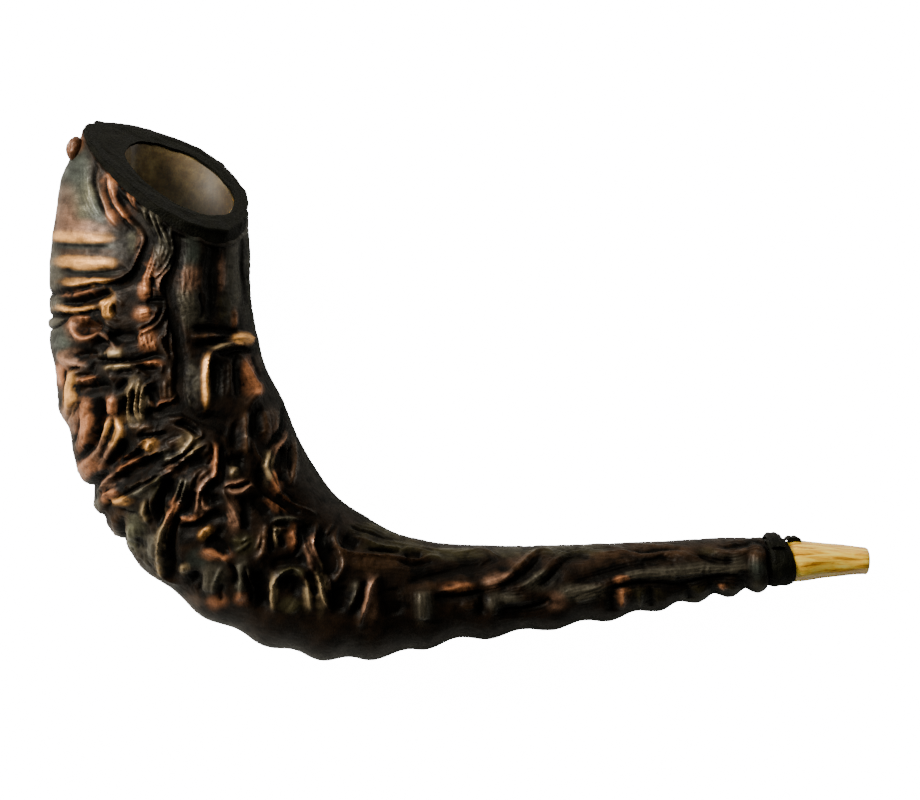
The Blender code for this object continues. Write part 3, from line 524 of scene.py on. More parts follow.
        (1.3, -2.4, [(-76.4, -24), (-77.4, -28), (-77.4, -33), (-76.4, -38)]),
        (0.9, 1.5, [(-72.2, -20), (-71.9, -25), (-71.7, -30), (-72.3, -34), (-72.4, -37), (-73.6, -40)]),
        (0.5, 1.0, [(-74.8, -32.5), (-74.2, -36), (-73, -39)]),
        (0.6, -1.6, [(-73.4, -24), (-73.6, -30), (-73.7, -34)]),
        (1.0, 1.3, [(-84.3, -44), (-82, -46.2), (-79, -48.3), (-76, -50.2), (-73.6, -52)]),
        (1.5, -2.5, [(-86.3, -33), (-85.2, -38), (-83.2, -42), (-80, -44.9), (-77, -47), (-73, -49.4), (-69, -51.6)]),
        (1.6, -1.9, [(-88.5, -45), (-86, -48.5), (-82, -51.5)]),
    ],
    "tubeStart": [
        (1.4, 1.4, [(-83.3, -56.5), (-83.8, -62), (-84.3, -67), (-86, -70.2), (-88.3, -71.7)]),
        (0.5, 1.4, [(-86, -61.3), (-86.5, -64), (-87.5, -67)]),
        (0.6, 1.2, [(-81.6, -56), (-79.5, -54.6), (-76, -54), (-72, -54), (-70, -54.3)]),
        (0.6, -1.5, [(-79.6, -56.6), (-77, -56.3), (-74, -56.5)]),
        (0.5, 1.5, [(-78.8, -58), (-80, -59.5), (-79.7, -62), (-78.4, -64.6)]),
        (0.9, 0.9, [(-78, -58.6), (-75.5, -58.5)]),
        (1.0, -1.6, [(-78, -61), (-77, -63), (-76, -66)]),
        (1.3, 1.1, [(-72.6, -59), (-71.7, -62), (-71.2, -65.5)]),
        (0.8, -2.0, [(-81.3, -58.5), (-81.6, -63), (-81.4, -68)]),
        (0.7, -1.9, [(-69.4, -57), (-69.2, -62), (-69.8, -66), (-71.3, -70)]),
        (1.4, -2.5, [(-67.3, -56.5), (-66.3, -60)]),
        (0.7, 1.6, [(-61.8, -56), (-62.7, -60), (-63.8, -64), (-63, -67.5), (-61, -71), (-59.5, -74), (-58, -76.5)]),
        (1.0, 1.4, [(-67.5, -64), (-66.9, -67.5), (-65.4, -70.5), (-64.4, -73)]),
        (0.6, 1.0, [(-65.8, -63.5), (-64.9, -67), (-63.2, -70)]),
        (0.55, 1.9, [(-65.4, -73.8), (-63.5, -76), (-61.9, -78), (-60.7, -81), (-60, -84.5), (-59, -87.5), (-57.5, -90.2),
        (-56, -92.5)]),
        (0.4, 1.2, [(-57, -79), (-56.3, -82), (-55.8, -85), (-55.3, -88)]),
        (1.6, -2.7, [(-68.5, -70.5), (-70, -72.6), (-75, -72.5), (-81, -74)]),
        (1.2, -2.5, [(-65.4, -77.5), (-64, -81), (-63, -86)]),
        (1.2, 1.7, [(-79.5, -93), (-80.6, -88), (-80.6, -82.5), (-79, -78.8), (-76, -76), (-72, -74.8), (-69, -76.5),
        (-66.5, -80),
                    (-65.3, -85), (-64.8, -89), (-63.6, -92.5)]),
        (2.6, -1.7, [(-75.5, -81), (-71.5, -81.5), (-71.5, -86)]),
        (2.2, 0.7, [(-73, -90), (-70, -92)]),
        (1.5, -2.6, [(-60.2, -59), (-60.9, -64), (-59.2, -69.5), (-57.4, -74), (-57.6, -78)]),
        (0.5, 1.0, [(-55.8, -56), (-57, -58), (-58.4, -60.6)]),
        (0.8, 1.0, [(-59.2, -62.5), (-58.6, -66)]),
        (1.6, -2.6, [(-56.2, -66), (-55, -71), (-55.3, -77)]),
        (2.6, -2.5, [(-54, -83), (-52.5, -88), (-53.5, -93)]),
    ],
    "tube": [
        (0.8, 1.5, [(-53.4, -57.5), (-54.7, -61), (-54.3, -64), (-52.5, -66.5), (-49, -68), (-45, -68.8), (-40, -69.3),
        (-34, -69.5), (-29, -69.8),
                    (-25, -70.3), (-21, -70.8), (-18, -70), (-14, -69), (-10, -69.3)]),
        (1.1, 1.4, [(-54, -66), (-52.5, -68.5), (-51.4, -71), (-51.5, -74), (-53, -77), (-54.5, -80.5)]),
        (0.5, 1.0, [(-47.5, -60.8), (-43, -62), (-40, -63.4), (-36, -64.8), (-31, -65.5), (-26, -65.9)]),
        (0.5, 0.9, [(-28, -67.8), (-25.6, -66), (-22, -65.9), (-19, -66.6), (-15, -67.4), (-11, -68)]),
        (0.7, 0.7, [(-46, -58), (-40, -60.2), (-34, -62.2), (-28, -64), (-22, -65), (-16, -65.8), (-9, -66.6), (-3, -66.4),
        (3, -65.9)]),
        (0.8, 0.7, [(-43, -54.8), (-37, -57.2), (-32, -59.5), (-27, -61.5), (-21, -63), (-14, -64)]),
        (0.8, -1.2, [(-48, -56.5), (-42, -58.6), (-36, -60.9), (-30, -62.6)]),
        (1.6, -1.9, [(-51, -62), (-48, -63.4), (-45, -65.2)]),
        (0.6, -1.5, [(-41, -66.2), (-35, -66.6), (-30, -66.9), (-27.4, -66.8)]),
        (0.8, -1.7, [(-25.5, -68.3), (-21, -68.8), (-18, -68.7)]),
        (0.7, -1.1, [(-28, -71), (-24, -72.2), (-20, -72.2), (-14, -71.5)]),
        (3.0, 0.5, [(-48, -71.5), (-40, -72.3), (-32, -73), (-22, -74)]),
        (1.1, 1.8, [(-35.5, -77.3), (-38.4, -80), (-40, -83), (-40.8, -87), (-42, -91), (-43.4, -95), (-44.2, -99)]),
        (1.1, 1.0, [(-45, -80.5), (-46, -85), (-47.5, -88.6), (-49.6, -92)]),
        (0.9, -1.8, [(-42, -80), (-43, -84), (-44, -89), (-46.5, -93)]),
        (3.6, -2.4, [(-32.5, -83), (-31, -89), (-30, -95)]),
        (3.2, 1.4, [(-18, -84), (-17.8, -90), (-17, -96)]),
        (1.6, -1.4, [(-24, -80.5), (-20, -79), (-14, -77.3), (-9, -76), (-4, -74.5), (1, -74), (6, -73), (10, -71), (14, -70)]),
        (1.0, 0.9, [(-12, -84), (-6, -83), (-2, -81.7), (2, -81.2), (6, -80.8)]),
        (0.9, 0.8, [(-6, -67.6), (-2, -67.2), (2, -66.6), (5, -66.1), (8, -66.4), (11, -67.6), (14, -69.3)]),
        (0.9, -1.8, [(-13, -86.6), (-6, -86.9), (0, -86.1), (5, -85), (8.5, -84)]),
        (1.0, -2.0, [(7.4, -84.5), (7.3, -89), (6.8, -94)]),
        (1.7, -1.2, [(12, -92), (20, -91.6), (27, -90.8), (33, -89), (35.5, -86)]),
        (2.2, 0.9, [(10.5, -86.5), (11.5, -90), (12.5, -93.5)]),
        (1.6, 1.3, [(6, -81.2), (10, -80.3), (14, -79.2), (17.5, -77.3), (21, -74.3), (24, -71.5), (27, -68.6), (31, -66.5),
        (34.5, -66.2), (37, -67.8)]),
        (1.5, -1.2, [(13, -82), (18.5, -80.2), (23, -77.8), (26.5, -74.8), (29, -71.3), (31, -68.8)]),
        (1.6, 1.0, [(17, -83), (24, -81.2), (28, -78.6), (32, -76), (36, -72), (39, -69.3), (43, -66.5)]),
        (1.6, -1.0, [(30, -82), (34, -79.3), (37, -76), (40, -72), (43.5, -69), (48, -68.3), (52, -68.2)]),
        (1.3, 0.7, [(44, -66), (50, -66.3), (56, -67.3), (62, -66.5), (68, -66.3), (71, -67.3), (74, -68.2), (79, -68),
        (83, -66.9), (87, -66.3),
                    (91, -67.5), (95, -69.2), (99, -70.2)]),
        (0.7, 0.5, [(50, -64.3), (57, -64.2), (64, -65.2), (69, -66.2)]),
        (0.7, 0.5, [(64, -63), (72, -63.4), (80, -63.9), (88, -64.4), (94, -65)]),
        (0.7, -0.9, [(66, -65.4), (74, -66.4), (82, -65.5), (90, -65.6)]),
        (1.0, -1.0, [(73, -70.2), (78, -69.7), (82, -68.6), (85.5, -69.8), (87.5, -70.4)]),
        (2.4, 1.0, [(38, -87), (44, -84.2), (50, -83), (57, -80.8), (62, -78.6), (67, -77.2), (74, -75.8), (82, -75.6),
        (90, -75.2), (98, -74.3),
                    (106, -74), (114, -73.8), (121, -74)]),
        (1.8, -0.9, [(44, -80), (49, -78.8), (54, -77.2), (60, -75.2), (66, -73.4), (72, -72.2), (79, -71.8)]),
        (1.4, 1.0, [(63.8, -78.6), (66, -78.2)]),
        (1.4, -1.2, [(61, -82.6), (65, -81.4), (72, -80.2), (79, -80.4), (86, -80.9), (93, -80), (98, -78.7), (105, -77.4),
        (112, -76.8), (118, -77.4)]),
        (1.2, 1.1, [(65.6, -82), (65.8, -86), (65.4, -91)]),
        (1.1, 0.7, [(72.5, -82), (73, -86), (73, -91)]),
        (1.2, -1.3, [(61.8, -83), (61.4, -87), (61.5, -92)]),
        (1.5, -1.0, [(77.6, -81), (77.6, -86), (78, -90)]),
        (1.5, -1.0, [(93, -81), (93.6, -84), (94, -87)]),
        (1.1, -1.4, [(97, -67.8), (101, -69), (106, -70.4), (112, -70.2)]),
        (1.0, -1.0, [(107.5, -64.6), (112, -63.6), (117, -62.6), (120, -61)]),
        (1.3, 0.8, [(103, -66), (108, -67), (114, -67), (118, -65)]),
        (2.8, 0.9, [(122, -65.8), (121.8, -71), (122, -76)]),
        (0.8, -1.5, [(119.5, -61), (124, -62), (126, -64), (126.8, -66.6), (127, -70), (127.3, -75), (127.3, -80)]),
        (1.3, 1.2, [(106, -81.3), (108.4, -81.8)]),
        (1.5, -1.0, [(101, -78.5), (103.5, -82), (104, -86)]),
        (1.5, -1.0, [(114.5, -77.5), (116.6, -80), (117, -83.5)]),
        (1.5, 0.8, [(-2, -89), (1, -90.5), (4, -90)]),
        (2.0, 0.8, [(28, -86.5), (22, -87), (16, -87.5)]),
        (1.6, 0.8, [(46, -87), (50, -86), (55, -84.5)]),
    ],
}
foldShape = {"height": 1.0, "depth": 1.1, "width": 0.86, "wobble": 0.22, "cell": 0.32, "ripple": 0.27, "rippleStep": 1.25}  # mm


def courseOf(points, step=0.4):  # smooth line through the points, in even steps
    p = np.array(points, float)
    p = np.vstack([2 * p[0] - p[1], p, 2 * p[-1] - p[-2]])
    line = []
    for i in range(1, len(p) - 2):
        count = max(2, int(np.ceil(np.linalg.norm(p[i + 1] - p[i]) / step)))
        t = (np.arange(count) / count)[:, None]
        line.append(0.5 * (2 * p[i] + (p[i + 1] - p[i - 1]) * t + (2 * p[i - 1] - 5 * p[i] + 4 * p[i + 1] - p[i + 2]) * t * t
                           + (3 * p[i] - p[i - 1] - 3 * p[i + 1] + p[i + 2]) * t ** 3))
    line.append(p[-2][None])
    return np.vstack(line)


low, high = np.array([-182.0, -122.0]), np.array([148.0, 118.0])
cell = foldShape["cell"]
columns, rows = [int(math.ceil((high[k] - low[k]) / cell)) for k in (0, 1)]
gridX, gridY = np.meshgrid(low[0] + cell * np.arange(columns), low[1] + cell * np.arange(rows))


def drawFolds():  # map of ridges and one of creases, seen from above
    ridges = np.zeros((rows, columns))
    creases = np.zeros((rows, columns))
    ripples = np.zeros((rows, columns))
    rippleWeight = np.full((rows, columns), 0.3)
    seed = 11
    for group in folds.values():
        for halfWidth, height, points in group:
            seed += 1
            line = courseOf(points)
            halfWidth = halfWidth * foldShape["width"]
            reach = halfWidth * 3.4 + 4.0
            x0, y0 = np.floor((line.min(0) - reach - low) / cell).astype(int)
            x1, y1 = np.ceil((line.max(0) + reach - low) / cell).astype(int) + 1
            x0, y0, x1, y1 = max(0, x0), max(0, y0), min(columns, x1), min(rows, y1)
            gx, gy = gridX[y0:y1, x0:x1], gridY[y0:y1, x0:x1]
            best = np.full(gx.shape, 1e9)
            along = np.zeros(gx.shape)
            for i, (px, py) in enumerate(line):
                d = (gx - px) ** 2 + (gy - py) ** 2
                closer = d < best
                best[closer] = d[closer]
                along[closer] = i / (len(line) - 1)
            wobble = 1 + foldShape["wobble"] * smoothNoise(along * len(line) * 0.09, along * 0 + seed, along * 0, seed)
            ends = np.clip(1 - np.abs(2 * along - 1) ** 5, 0, 1) * 0.85 + 0.15
            d = np.sqrt(best) / (halfWidth * wobble)
            if halfWidth < 2:
                bump = (1 / (1 + d * d) - 0.08) / 0.92
            else:
                bump = np.exp(-0.9 * d * d)
            bump = np.clip(bump, 0, 1) * ends * abs(height)
            wave = np.cos(np.sqrt(best) * 2 * math.pi / foldShape["rippleStep"] / (0.7 + 0.25 * halfWidth) + wobble * 7)
            near = np.exp(-best / (2.2 + halfWidth) ** 2) * (ends > 0.5)
            ripples[y0:y1, x0:x1] += near * wave
            rippleWeight[y0:y1, x0:x1] += near
            target = ridges if height > 0 else creases
            piece = target[y0:y1, x0:x1]
            target[y0:y1, x0:x1] = (piece ** 3 + bump ** 3) ** (1 / 3)
    return ridges * foldShape["height"], creases * foldShape["depth"], ripples / rippleWeight


def softened(field, radius):  # the map blurred by a bell curve, with radius in mm
    fy = np.fft.fftfreq(rows)[:, None]
    fx = np.fft.rfftfreq(columns)[None]
    weight = np.exp(-2 * (math.pi * radius / cell) ** 2 * (fx * fx + fy * fy))
    return np.fft.irfft2(np.fft.rfft2(field) * weight, s=field.shape)


def readMap(field, x, y):
    u = np.clip((x - low[0]) / cell, 0, columns - 1.001)
    v = np.clip((y - low[1]) / cell, 0, rows - 1.001)
    i, j = u.astype(int), v.astype(int)
    fu, fv = u - i, v - j
    if field.ndim == 3:
        fu, fv = fu[..., None], fv[..., None]
    return (field[j, i] * (1 - fu) + field[j, i + 1] * fu) * (1 - fv) + (field[j + 1, i] * (1 - fu) + field[j + 1, i + 1] * fu) * fv


ridgeMap, creaseMap, rippleMap = drawFolds()
reliefMap = ridgeMap - creaseMap
reliefMap = 1.05 * reliefMap + 0.8 * softened(reliefMap, 2.0) - 0.5 * softened(reliefMap, 9.0)
reliefMap += foldShape["ripple"] * rippleMap * np.clip(softened(ridgeMap + creaseMap, 2.5) / 0.6, 0.15, 1)
print("folds drawn:", sum(len(group) for group in folds.values()))

# colour rubbed into the leather, with painted light mixed in: blue, grey and olive spots are painted sheen, gold is
# rubbed copper with a painted highlight on it, dark and black spots are painted shade; (x, y, reach along x, reach
# along y, colour, strength)
rubSheenShadeColours = {
    "gold": (0.90, 0.42, 0.115),
    "copper": (0.46, 0.175, 0.073),
    "pink": (0.30, 0.15, 0.09),
    "green": (0.115, 0.112, 0.068),
    "blue": (0.048, 0.060, 0.050),
    "brown": (0.068, 0.033, 0.015),
    "olive": (0.048, 0.042, 0.018),
    "grey": (0.078, 0.070, 0.050),
    "pale": (0.33, 0.23, 0.12),
    "dark": (0.006, 0.004, 0.002),
    "black": (0.002, 0.0015, 0.001),
}
rubSheenShadeSpots = [
    (-168, 88, 7, 14, "blue", 1.0), (-163, 88, 5, 12, "blue", 0.8), (-167, 76, 5, 9, "pink", 0.9),
    (-166, 102, 4, 5, "copper", 0.8),
    (-160, 78, 5, 8, "green", 0.9), (-154, 74, 4, 6, "blue", 0.9), (-161, 66, 9, 4, "pink", 0.9),
    (-161, 62.8, 11, 2.4, "gold", 1.0),
    (-160, 59.2, 11, 1.5, "blue", 0.95), (-158, 56.4, 10, 1.8, "brown", 0.8), (-159, 52.2, 10.5, 2.6, "gold", 1.0),
    (-157, 47.9, 9, 1.1, "blue", 0.9), (-172, 46, 4, 12, "grey", 0.9), (-158, 44, 10, 1.6, "gold", 0.9),
    (-162, 39.5, 8, 1.5, "copper", 0.8),
    (-163, 32.7, 8, 1.8, "gold", 0.75), (-172, 30, 5, 8, "grey", 0.8), (-144.5, 60, 4, 8, "dark", 0.9),
    (-140.5, 61, 2.5, 5, "green", 0.5),
    (-137, 58, 2, 8, "pink", 0.8), (-148, 78, 4, 8, "copper", 0.8), (-149.5, 87, 3, 3, "copper", 0.7),
    (-143, 77, 3.5, 7, "copper", 0.7),
    (-133, 70, 5, 9, "grey", 0.8), (-128, 62, 5, 12, "grey", 0.75), (-134, 50, 3, 8, "copper", 0.8),
    (-128, 45, 3, 5, "pink", 0.7),
    (-129, 54, 3, 5, "brown", 0.6), (-124, 60, 2, 10, "grey", 0.8), (-134.5, 41, 3, 4, "copper", 0.9),
    (-117, 57, 5, 7, "blue", 0.9), (-117, 46, 5, 6, "pink", 0.55), (-117, 37, 5, 7, "grey", 0.7),
    (-106.8, 46, 3, 16, "black", 0.95),
    (-102.5, 48, 1.8, 7, "pink", 0.5), (-97, 47, 4, 14, "olive", 0.8), (-91.5, 45, 2, 16, "olive", 0.7),
    (-98, 66, 8, 5, "olive", 0.3),
    (-100, 33, 4, 6, "olive", 0.6), (-97, 30, 1.6, 4, "copper", 0.4), (-114, 30, 5, 5, "grey", 0.8),
    (-94, 20.7, 3.8, 2.6, "gold", 1.0),
    (-107, 21.8, 6, 1.4, "brown", 0.8), (-109.2, 3, 1.8, 10, "gold", 0.75), (-103, 17.5, 4, 1.5, "pale", 0.6),
    (-103, 3, 4, 9, "dark", 0.8),
    (-91, 6, 3, 7, "copper", 0.85), (-87.3, 0, 2.4, 2.6, "copper", 1.0), (-115, 2, 3, 9, "grey", 0.8),
    (-87, 10, 2.5, 5, "brown", 0.7),
    (-150, 36, 2.5, 6, "gold", 0.7), (-136, 31, 4, 3, "copper", 0.55), (-134, 20, 4, 5, "copper", 0.6),
    (-148, 14, 4, 3, "pale", 0.75),
    (-149, 19, 4, 4, "pink", 0.7), (-160, 25, 6, 5, "copper", 0.7), (-168, 21, 5, 5, "blue", 0.75),
    (-163, 12, 5, 4, "pink", 0.7),
    (-167.5, 6, 2.5, 5, "copper", 0.75), (-163.5, -2, 2.4, 8, "gold", 0.8), (-157, 3, 4, 2, "copper", 0.6),
    (-131, 10.5, 4, 1.5, "copper", 0.5),
    (-146, 9, 5, 1.5, "pale", 0.6), (-139, -6, 5, 9, "pale", 0.75), (-125, 0, 3, 6, "brown", 0.6),
    (-126, -6, 5, 2, "copper", 0.5),
    (-148.5, -9, 3, 5, "copper", 1.0), (-158, -15, 4, 12, "copper", 0.9), (-163.5, -14, 3, 8, "pink", 0.9),
    (-147, -18, 4, 6, "gold", 0.7),
    (-151, -24, 4, 6, "pink", 0.8), (-163, -22, 2.5, 4, "blue", 0.6), (-156, -34, 5, 5, "copper", 0.75),
    (-159, -40, 4, 8, "grey", 0.6),
    (-153.5, -46, 3, 5, "grey", 1.0), (-148, -44, 3, 2.5, "copper", 0.95), (-143, -46.5, 4, 1.8, "gold", 0.7),
    (-141, -31.5, 6, 3, "copper", 0.6),
    (-148, -38, 3, 4, "pink", 0.8), (-132, -24, 3, 3, "gold", 0.6), (-137, -17, 4, 2, "brown", 0.7),
    (-116, -24, 4, 5, "pale", 0.6),
    (-123, -29, 6, 3, "grey", 0.6), (-135, -43, 5, 3, "grey", 0.6), (-120, -33, 5, 4, "pink", 0.5),
    (-128, -42, 3, 5, "olive", 0.9),
    (-104.5, -31, 2.5, 7, "copper", 0.6), (-110, -45, 3, 8, "pink", 0.7), (-119, -42, 3, 7, "grey", 0.8),
    (-122, -50, 3, 5, "copper", 0.7),
    (-92.5, -18, 2.5, 9, "brown", 0.9), (-82, -15, 4, 7, "brown", 0.75), (-79, -20, 4, 6, "pink", 0.5),
    (-83, -32, 2, 7, "pale", 0.6),
    (-79, -38, 2.5, 6, "copper", 0.5), (-72, -30, 2, 9, "brown", 0.9), (-97, -34, 2, 3, "pale", 0.5),
    (-95, -41, 5, 3, "pink", 0.7),
    (-79, -48, 5, 3, "copper", 0.5), (-97, -53, 3, 6, "pink", 0.7), (-138, -59, 5, 8, "green", 0.55),
    (-129, -67, 4, 7, "grey", 0.65),
    (-143, -58, 3, 9, "brown", 0.8), (-126, -63, 2.4, 14, "pale", 0.65), (-133.5, -51, 2, 4, "pale", 0.7),
    (-123, -54, 2.5, 4, "copper", 0.6),
    (-116, -54.5, 6, 1.8, "copper", 0.85), (-116.8, -74.6, 2.2, 2.4, "pale", 0.75), (-109, -60, 3, 3, "gold", 0.45),
    (-104.5, -69, 6, 2.4, "copper", 0.8), (-105, -78, 5, 7, "grey", 0.6), (-93.5, -78, 3, 7, "grey", 0.85),
    (-93, -87, 3, 3, "copper", 0.5),
    (-103, -88, 4, 3, "copper", 0.4), (-114, -88, 6, 3, "brown", 0.6), (-112, -71, 4, 4, "blue", 0.7),
    (-93, -65, 5, 4, "olive", 0.8),
    (-84.5, -64, 3, 6, "brown", 0.7), (-79.5, -61, 1.5, 4, "pale", 0.6), (-72, -62, 2.4, 5, "copper", 0.6),
    (-76, -54, 5, 1.4, "grey", 0.6),
    (-64.5, -67, 2.5, 6, "pink", 0.6), (-60.5, -83, 2.4, 9, "pale", 0.7), (-80.5, -84, 2, 6, "pale", 0.7),
    (-66, -86, 2, 6, "pale", 0.7),
    (-73, -90, 5, 3, "olive", 0.8), (-73, -76, 5, 2.5, "olive", 0.9), (-53, -68, 3, 7, "brown", 0.9),
    (-40, -72, 12, 3, "brown", 0.75),
    (-35, -58, 12, 4, "olive", 0.8), (-30, -65, 12, 3, "olive", 0.6), (-40, -88, 3, 9, "pink", 0.8),
    (-46, -86, 3, 6, "grey", 0.6),
    (-17.5, -90, 4, 8, "grey", 0.45), (-17, -80, 5, 4, "brown", 0.6), (-4, -82, 6, 2, "copper", 0.55),
    (-5, -68, 12, 2.4, "olive", 0.9),
    (14, -79, 6, 3, "pink", 0.85), (24, -71, 6, 4, "brown", 0.9), (20, -67, 8, 2.4, "olive", 0.9), (16, -88, 7, 4, "grey", 0.7),
    (30, -79, 7, 4, "grey", 0.6), (38, -88, 4, 4, "pink", 0.55), (45, -66, 12, 3, "olive", 0.8), (48, -84, 10, 4, "grey", 0.7),
    (58, -70, 10, 3, "brown", 0.8), (65, -78.5, 3, 1.8, "copper", 0.7), (80, -76, 14, 3, "grey", 0.75),
    (80, -66, 16, 2.6, "brown", 0.6),
    (66, -85, 3, 4, "copper", 0.45), (75, -86, 10, 4, "olive", 0.6), (98, -74, 12, 3, "grey", 0.7),
    (101, -66, 4, 2, "olive", 0.4),
    (96, -85, 6, 4, "olive", 0.7), (107.4, -81.6, 2, 1.2, "copper", 0.7), (110, -72, 8, 4, "grey", 0.5),
    (110, -64, 10, 3, "brown", 0.6),
    (122, -67, 4, 4, "brown", 0.5), (122, -74, 4, 5, "blue", 0.6), (110, -84, 8, 3, "olive", 0.6),
    (122, -82, 5, 3, "olive", 0.5),
]


# spreads the rubbed colours, the painted sheen and the painted shade over the map, with the strength of each
def drawRubSheenShade():
    colour = np.zeros((rows, columns, 3)) + np.array(rubSheenShadeColours["brown"]) * 0.6
    weightSum = np.full((rows, columns), 0.35)
    colour *= weightSum[..., None]
    for x, y, reachX, reachY, name, strength in rubSheenShadeSpots:
        x0, x1 = [int(np.clip((x + s * reachX * 2.2 - low[0]) / cell, 0, columns)) for s in (-1, 1)]
        y0, y1 = [int(np.clip((y + s * reachY * 2.2 - low[1]) / cell, 0, rows)) for s in (-1, 1)]
        gx, gy = gridX[y0:y1, x0:x1], gridY[y0:y1, x0:x1]
        d = ((gx - x) / reachX) ** 2 + ((gy - y) / reachY) ** 2
        weight = strength * 3.0 * np.exp(-0.9 * d * d - 0.4 * d)
        faint = 0.9 if x > -60 else 1.0  # the neck is hardly rubbed
        colour[y0:y1, x0:x1] += weight[..., None] * np.array(rubSheenShadeColours[name]) * faint
        weightSum[y0:y1, x0:x1] += weight
    return colour / weightSum[..., None], np.clip((weightSum - 0.35) / 1.2, 0, 1)


rubSheenShadeMap, rubbed = drawRubSheenShade()


def select(piece):
    bpy.ops.object.select_all(action="DESELECT")
    piece.select_set(True)
    bpy.context.view_layer.objects.active = piece


def gridPiece(name, points):  # a flat grid laid over the points, rows x columns x 3
    rowCount, columnCount = points.shape[:2]
    bpy.ops.object.select_all(action="DESELECT")
    bpy.ops.mesh.primitive_grid_add(x_subdivisions=columnCount - 1, y_subdivisions=rowCount - 1, size=1.0)
    piece = bpy.context.active_object
    piece.name = piece.data.name = name
    mesh = piece.data
    flat = np.zeros(len(mesh.vertices) * 3)
    mesh.vertices.foreach_get("co", flat)
    flat = flat.reshape(-1, 3)
    column = np.rint((flat[:, 0] + 0.5) * (columnCount - 1)).astype(int)
    row = np.rint((flat[:, 1] + 0.5) * (rowCount - 1)).astype(int)
    mesh.vertices.foreach_set("co", points[row, column].ravel())
    mesh.update()
    return piece, row, column


def ringPiece(name, rings):  # a torus whose rings are laid over the given rings of points
    ringCount, pointCount = rings.shape[:2]
    bpy.ops.object.select_all(action="DESELECT")
    bpy.ops.mesh.primitive_torus_add(major_segments=ringCount, minor_segments=pointCount, major_radius=1.0, minor_radius=0.25)
    piece = bpy.context.active_object
    piece.name = piece.data.name = name
    piece.data.vertices.foreach_set("co", rings.reshape(-1))
    piece.data.update()
    return piece


def faceOut(piece, smoothAngle=40):
    select(piece)
    bpy.ops.object.mode_set(mode="EDIT")
    bpy.ops.mesh.select_all(action="SELECT")
    bpy.ops.mesh.normals_make_consistent(inside=False)
    bpy.ops.object.mode_set(mode="OBJECT")
    bpy.ops.object.shade_smooth_by_angle(angle=math.radians(smoothAngle))


def addAttribute(piece, name, values, kind="FLOAT"):
    attribute = piece.data.attributes.new(name, kind, "POINT")
    if kind == "FLOAT_COLOR":
        rgba = np.ones((len(values), 4))
        rgba[:, :3] = values
        attribute.data.foreach_set("color", rgba.ravel())
    else:
        attribute.data.foreach_set("value", np.asarray(values, float))


def ride(piece, material, slot, *nodes):
    piece.data.materials.clear()
    piece.data.materials.append(material)
    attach(piece, "root")
    if nodes:
        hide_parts(*nodes)
    return piece


def newMaterial(name):
    material = bpy.data.materials.new(name)
    material.use_nodes = True
    tree = material.node_tree
    return material, tree, tree.nodes["Principled BSDF"]


def addNode(tree, kind, **values):
    node = tree.nodes.new(kind)
    for key, value in values.items():
        if key.startswith("in"):
            node.inputs[int(key[2:])].default_value = value
        else:
            setattr(node, key, value)
    return node


def link(tree, source, target):
    tree.links.new(source, target)


def ramp(tree, source, stops, interpolation="LINEAR"):
    node = tree.nodes.new("ShaderNodeValToRGB")
    node.color_ramp.interpolation = interpolation
    while len(node.color_ramp.elements) < len(stops):
        node.color_ramp.elements.new(0.5)
    for element, (position, colour) in zip(node.color_ramp.elements, stops):
        element.position = position
        element.color = (*colour, 1.0) if len(colour) == 3 else colour
    link(tree, source, node.inputs["Fac"])
    return node.outputs["Color"]


def mathNode(tree, operation, one, two=None, clamp=False):
    node = tree.nodes.new("ShaderNodeMath")
    node.operation = operation
    node.use_clamp = clamp
    for socket, value in zip(node.inputs, (one, two)):
        if value is None:
            continue
        if isinstance(value, (int, float)):
            socket.default_value = value
        else:
            link(tree, value, socket)
    return node.outputs[0]


def mixColour(tree, factor, one, two, blend="MIX"):
    node = tree.nodes.new("ShaderNodeMix")
    node.data_type = "RGBA"
    node.blend_type = blend
    for socket, value in ((node.inputs[0], factor), (node.inputs[6], one), (node.inputs[7], two)):
        if isinstance(value, (int, float)):
            socket.default_value = value
        elif isinstance(value, tuple):
            socket.default_value = (*value, 1.0)
        else:
            link(tree, value, socket)
    return node.outputs[2]


def noiseNode(tree, vector, scale, detail=4.0, roughness=0.55, distortion=0.0):
    node = tree.nodes.new("ShaderNodeTexNoise")
    node.inputs["Scale"].default_value = scale
    node.inputs["Detail"].default_value = detail
    node.inputs["Roughness"].default_value = roughness
    node.inputs["Distortion"].default_value = distortion
    link(tree, vector, node.inputs["Vector"])
    return node.outputs["Fac"]


def makeGrainGroup():  # pores and fine creases of leather: a height for the bump and a mask that darkens the pores
    group = bpy.data.node_groups.new("leatherGrain", "ShaderNodeTree")
    group.interface.new_socket("Vector", in_out="INPUT", socket_type="NodeSocketVector")
    scale = group.interface.new_socket("Pore Scale", in_out="INPUT", socket_type="NodeSocketFloat")
    scale.default_value = 900.0
    group.interface.new_socket("Height", in_out="OUTPUT", socket_type="NodeSocketFloat")
    group.interface.new_socket("Pores", in_out="OUTPUT", socket_type="NodeSocketFloat")
    inside = group.nodes.new("NodeGroupInput")
    out = group.nodes.new("NodeGroupOutput")
    pores = group.nodes.new("ShaderNodeTexVoronoi")
    pores.feature = "DISTANCE_TO_EDGE"
    link(group, inside.outputs["Vector"], pores.inputs["Vector"])
    link(group, inside.outputs["Pore Scale"], pores.inputs["Scale"])
    edge = group.nodes.new("ShaderNodeMapRange")
    edge.inputs["From Max"].default_value = 0.22
    link(group, pores.outputs["Distance"], edge.inputs["Value"])
    wrinkle = noiseNode(group, inside.outputs["Vector"], 260.0, 6.0, 0.62, 0.6)
    wrinkleShare = mathNode(group, "MULTIPLY", wrinkle, 1.2)
    link(group, mathNode(group, "ADD", mathNode(group, "MULTIPLY", edge.outputs[0], 0.5), wrinkleShare), out.inputs["Height"])
    link(group, edge.outputs[0], out.inputs["Pores"])
    return group


